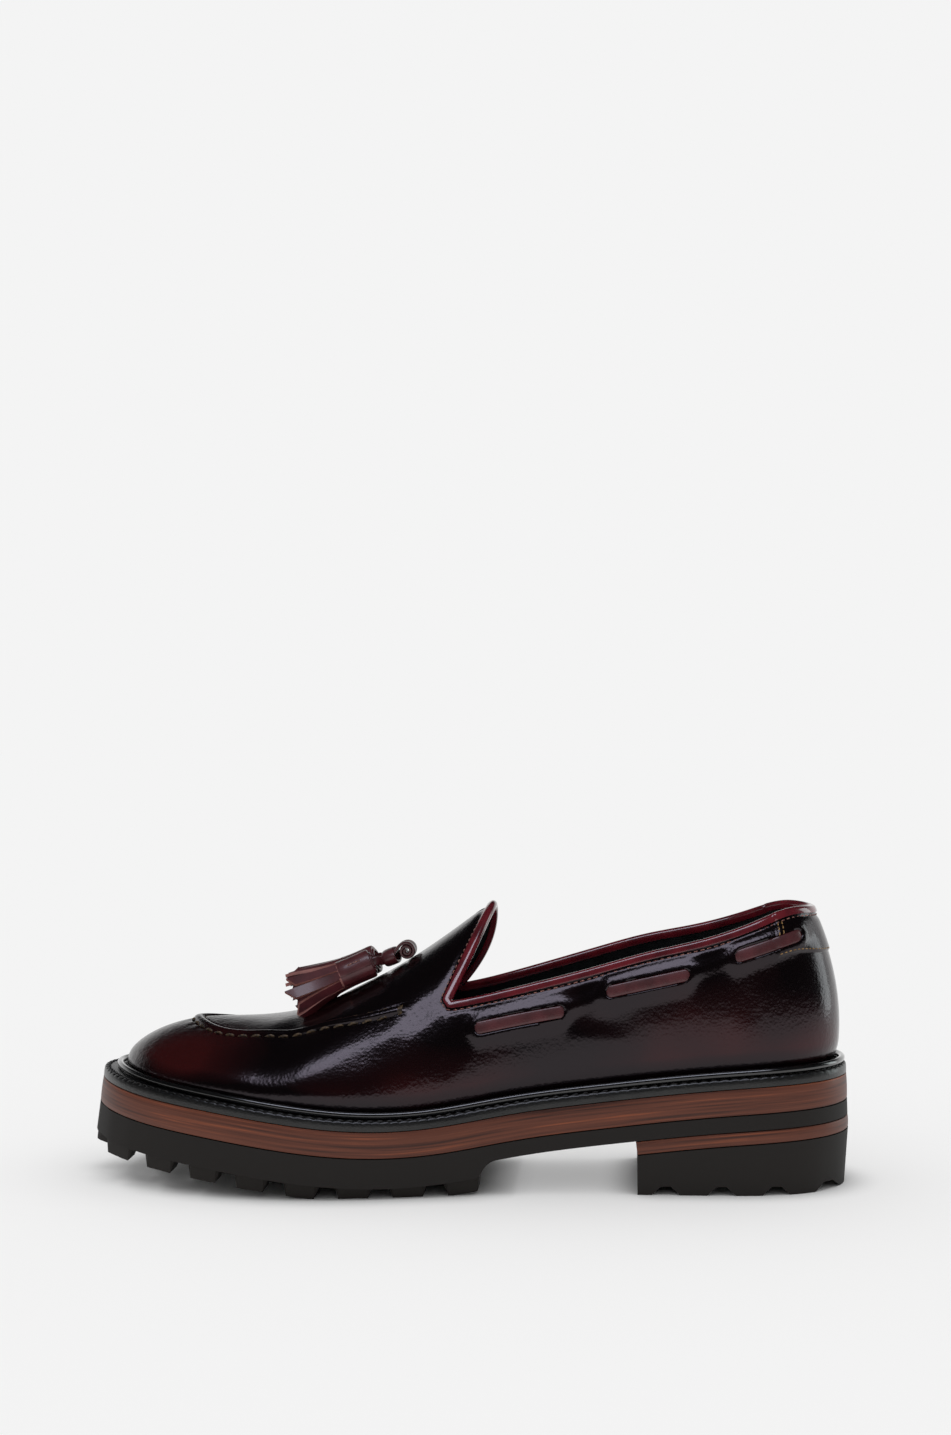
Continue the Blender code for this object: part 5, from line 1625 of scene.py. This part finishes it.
def make_world():
    """Studio: matt surfaces and the camera see an even pale light, polished ones see a white sheet
    low behind the shoe and darkness round the camera."""
    world = bpy.data.worlds.new("studio")
    world.use_nodes = True
    world.cycles.sampling_method = "NONE"
    tree = world.node_tree
    background = tree.nodes["Background"]
    background.inputs["Strength"].default_value = 1.0
    direction = add(tree, "ShaderNodeTexCoord")
    apart = add(tree, "ShaderNodeSeparateXYZ", links={"Vector": direction.outputs["Generated"]})
    behind = add(
        tree, "ShaderNodeMapRange", {"From Min": -0.30, "From Max": -0.75},
        {"Value": apart.outputs["Y"]}, interpolation_type="SMOOTHSTEP",
    )
    low = add(
        tree, "ShaderNodeMapRange", {"From Min": 0.50, "From Max": 0.26},
        {"Value": apart.outputs["Z"]}, interpolation_type="SMOOTHSTEP",
    )
    sheet = add(
        tree, "ShaderNodeMath", links={0: behind.outputs["Result"], 1: low.outputs["Result"]},
        operation="MULTIPLY",
    )
    studio = ramp(tree, sheet.outputs["Value"], ((0.0, "#1c1d20"), (1.0, "#f4f4f4")))
    path = add(tree, "ShaderNodeLightPath")
    even = add(
        tree, "ShaderNodeMath", links={0: path.outputs["Is Camera Ray"], 1: path.outputs["Is Diffuse Ray"]},
        operation="MAXIMUM",
    )
    level = add(
        tree, "ShaderNodeMapRange", {"To Min": DAYLIGHT, "To Max": linear(BACKGROUND)[0]},
        {"Value": path.outputs["Is Camera Ray"]},
    )
    choice = add(
        tree, "ShaderNodeMix", links={0: even.outputs["Value"], 6: studio, 7: level.outputs["Result"]},
        data_type="RGBA",
    )
    tree.links.new(choice.outputs[2], background.inputs["Color"])
    bpy.context.scene.world = world
    bpy.context.scene.view_settings.view_transform = "Standard"


LIGHTS = (
    # name, place, size, watts, colour: the sheen across the vamp, and the bar of light down the heel
    ("top_box", (0.0, 0.58, 1.12), (1.0, 0.42), 6.5, "#e9edff"),
    ("heel_strip", (-1.15, -0.42, 0.25), (0.40, 0.9), 3.0, "#e6f0f0"),
)
LIT_POINT = (0.0, 0.0, 0.05)    # on the shoe, which both lights face


def make_stage():
    """Floor, studio, and two soft boxes that the polish mirrors."""
    make_floor()
    make_world()
    for name, place_at, size, power, colour in LIGHTS:
        make_light(name, place_at, LIT_POINT, size, power, colour)


def main():
    """Makes the camera, the stage, the materials and then every piece, top to bottom."""
    make_camera()
    make_stage()
    # upper: black over burgundy, a dark mirror
    polished = polished_leather()
    # lining: black, with hardly any shine
    lining = plain_leather("lining leather", "#0c0d0e", "#16181a", 0.45, 0.0, 0.8 * MM, 0.05 * MM)
    # binding: clear red under a hard gloss
    edging = plain_leather(
        "glazed binding leather", "#4a0f18", "#641620", 0.22, 0.8, 0.9 * MM, 0.02 * MM, 0.06,
    )
    # flat lace: brown-red, with a soft sheen
    lace = plain_leather("lace leather", "#44191d", "#552126", 0.38, 0.25, 0.7 * MM, 0.05 * MM)
    # edge where the lace is cut: paler and matt
    cut = plain_leather("cut leather edge", "#7a4a44", "#93605a", 0.7, 0.0, 0.4 * MM, 0.05 * MM)
    # welt: black, with a low sheen over deep grain
    black = plain_leather("waxed black leather", "#0a0909", "#141312", 0.38, 0.2, 0.7 * MM, 0.1 * MM)
    # bead: black, with a thin bright line along it
    bead = plain_leather("glazed black bead", "#070707", "#0f0e0e", 0.2, 0.9, 0.8 * MM, 0.03 * MM, 0.08)
    stacked = stacked_edge()
    rubber = moulded_rubber()
    brown_thread = thread("waxed brown thread", "#20160b", "#544025")
    gold_thread = thread("gold thread", "#6a4c22", "#94713a")
    black_thread = thread("black thread", "#0d0c0b", "#26221f")
    burgundy_thread = thread("burgundy thread", "#4a1c1a", "#9a6a5e")

    make_upper(polished, lining)
    make_binding(edging)
    make_collar_stitches(burgundy_thread)
    make_apron_stitches(brown_thread)
    make_tab_stitches(gold_thread)
    band = make_knot_band(lace)
    for side in (1, -1):
        for number, row in enumerate(LACE_BARS, 1):
            make_lace_bar(number, row, side, lace)
        tassel = make_tassel(side, lace, cut, burgundy_thread)
        make_tie(side, lace)
    make_welt(black)
    make_welt_stitches(black_thread)
    make_rand(bead)
    make_stacked_layers(stacked)
    make_outsole(rubber)
    make_heel_block(rubber)
    make_sock(lining)


main()
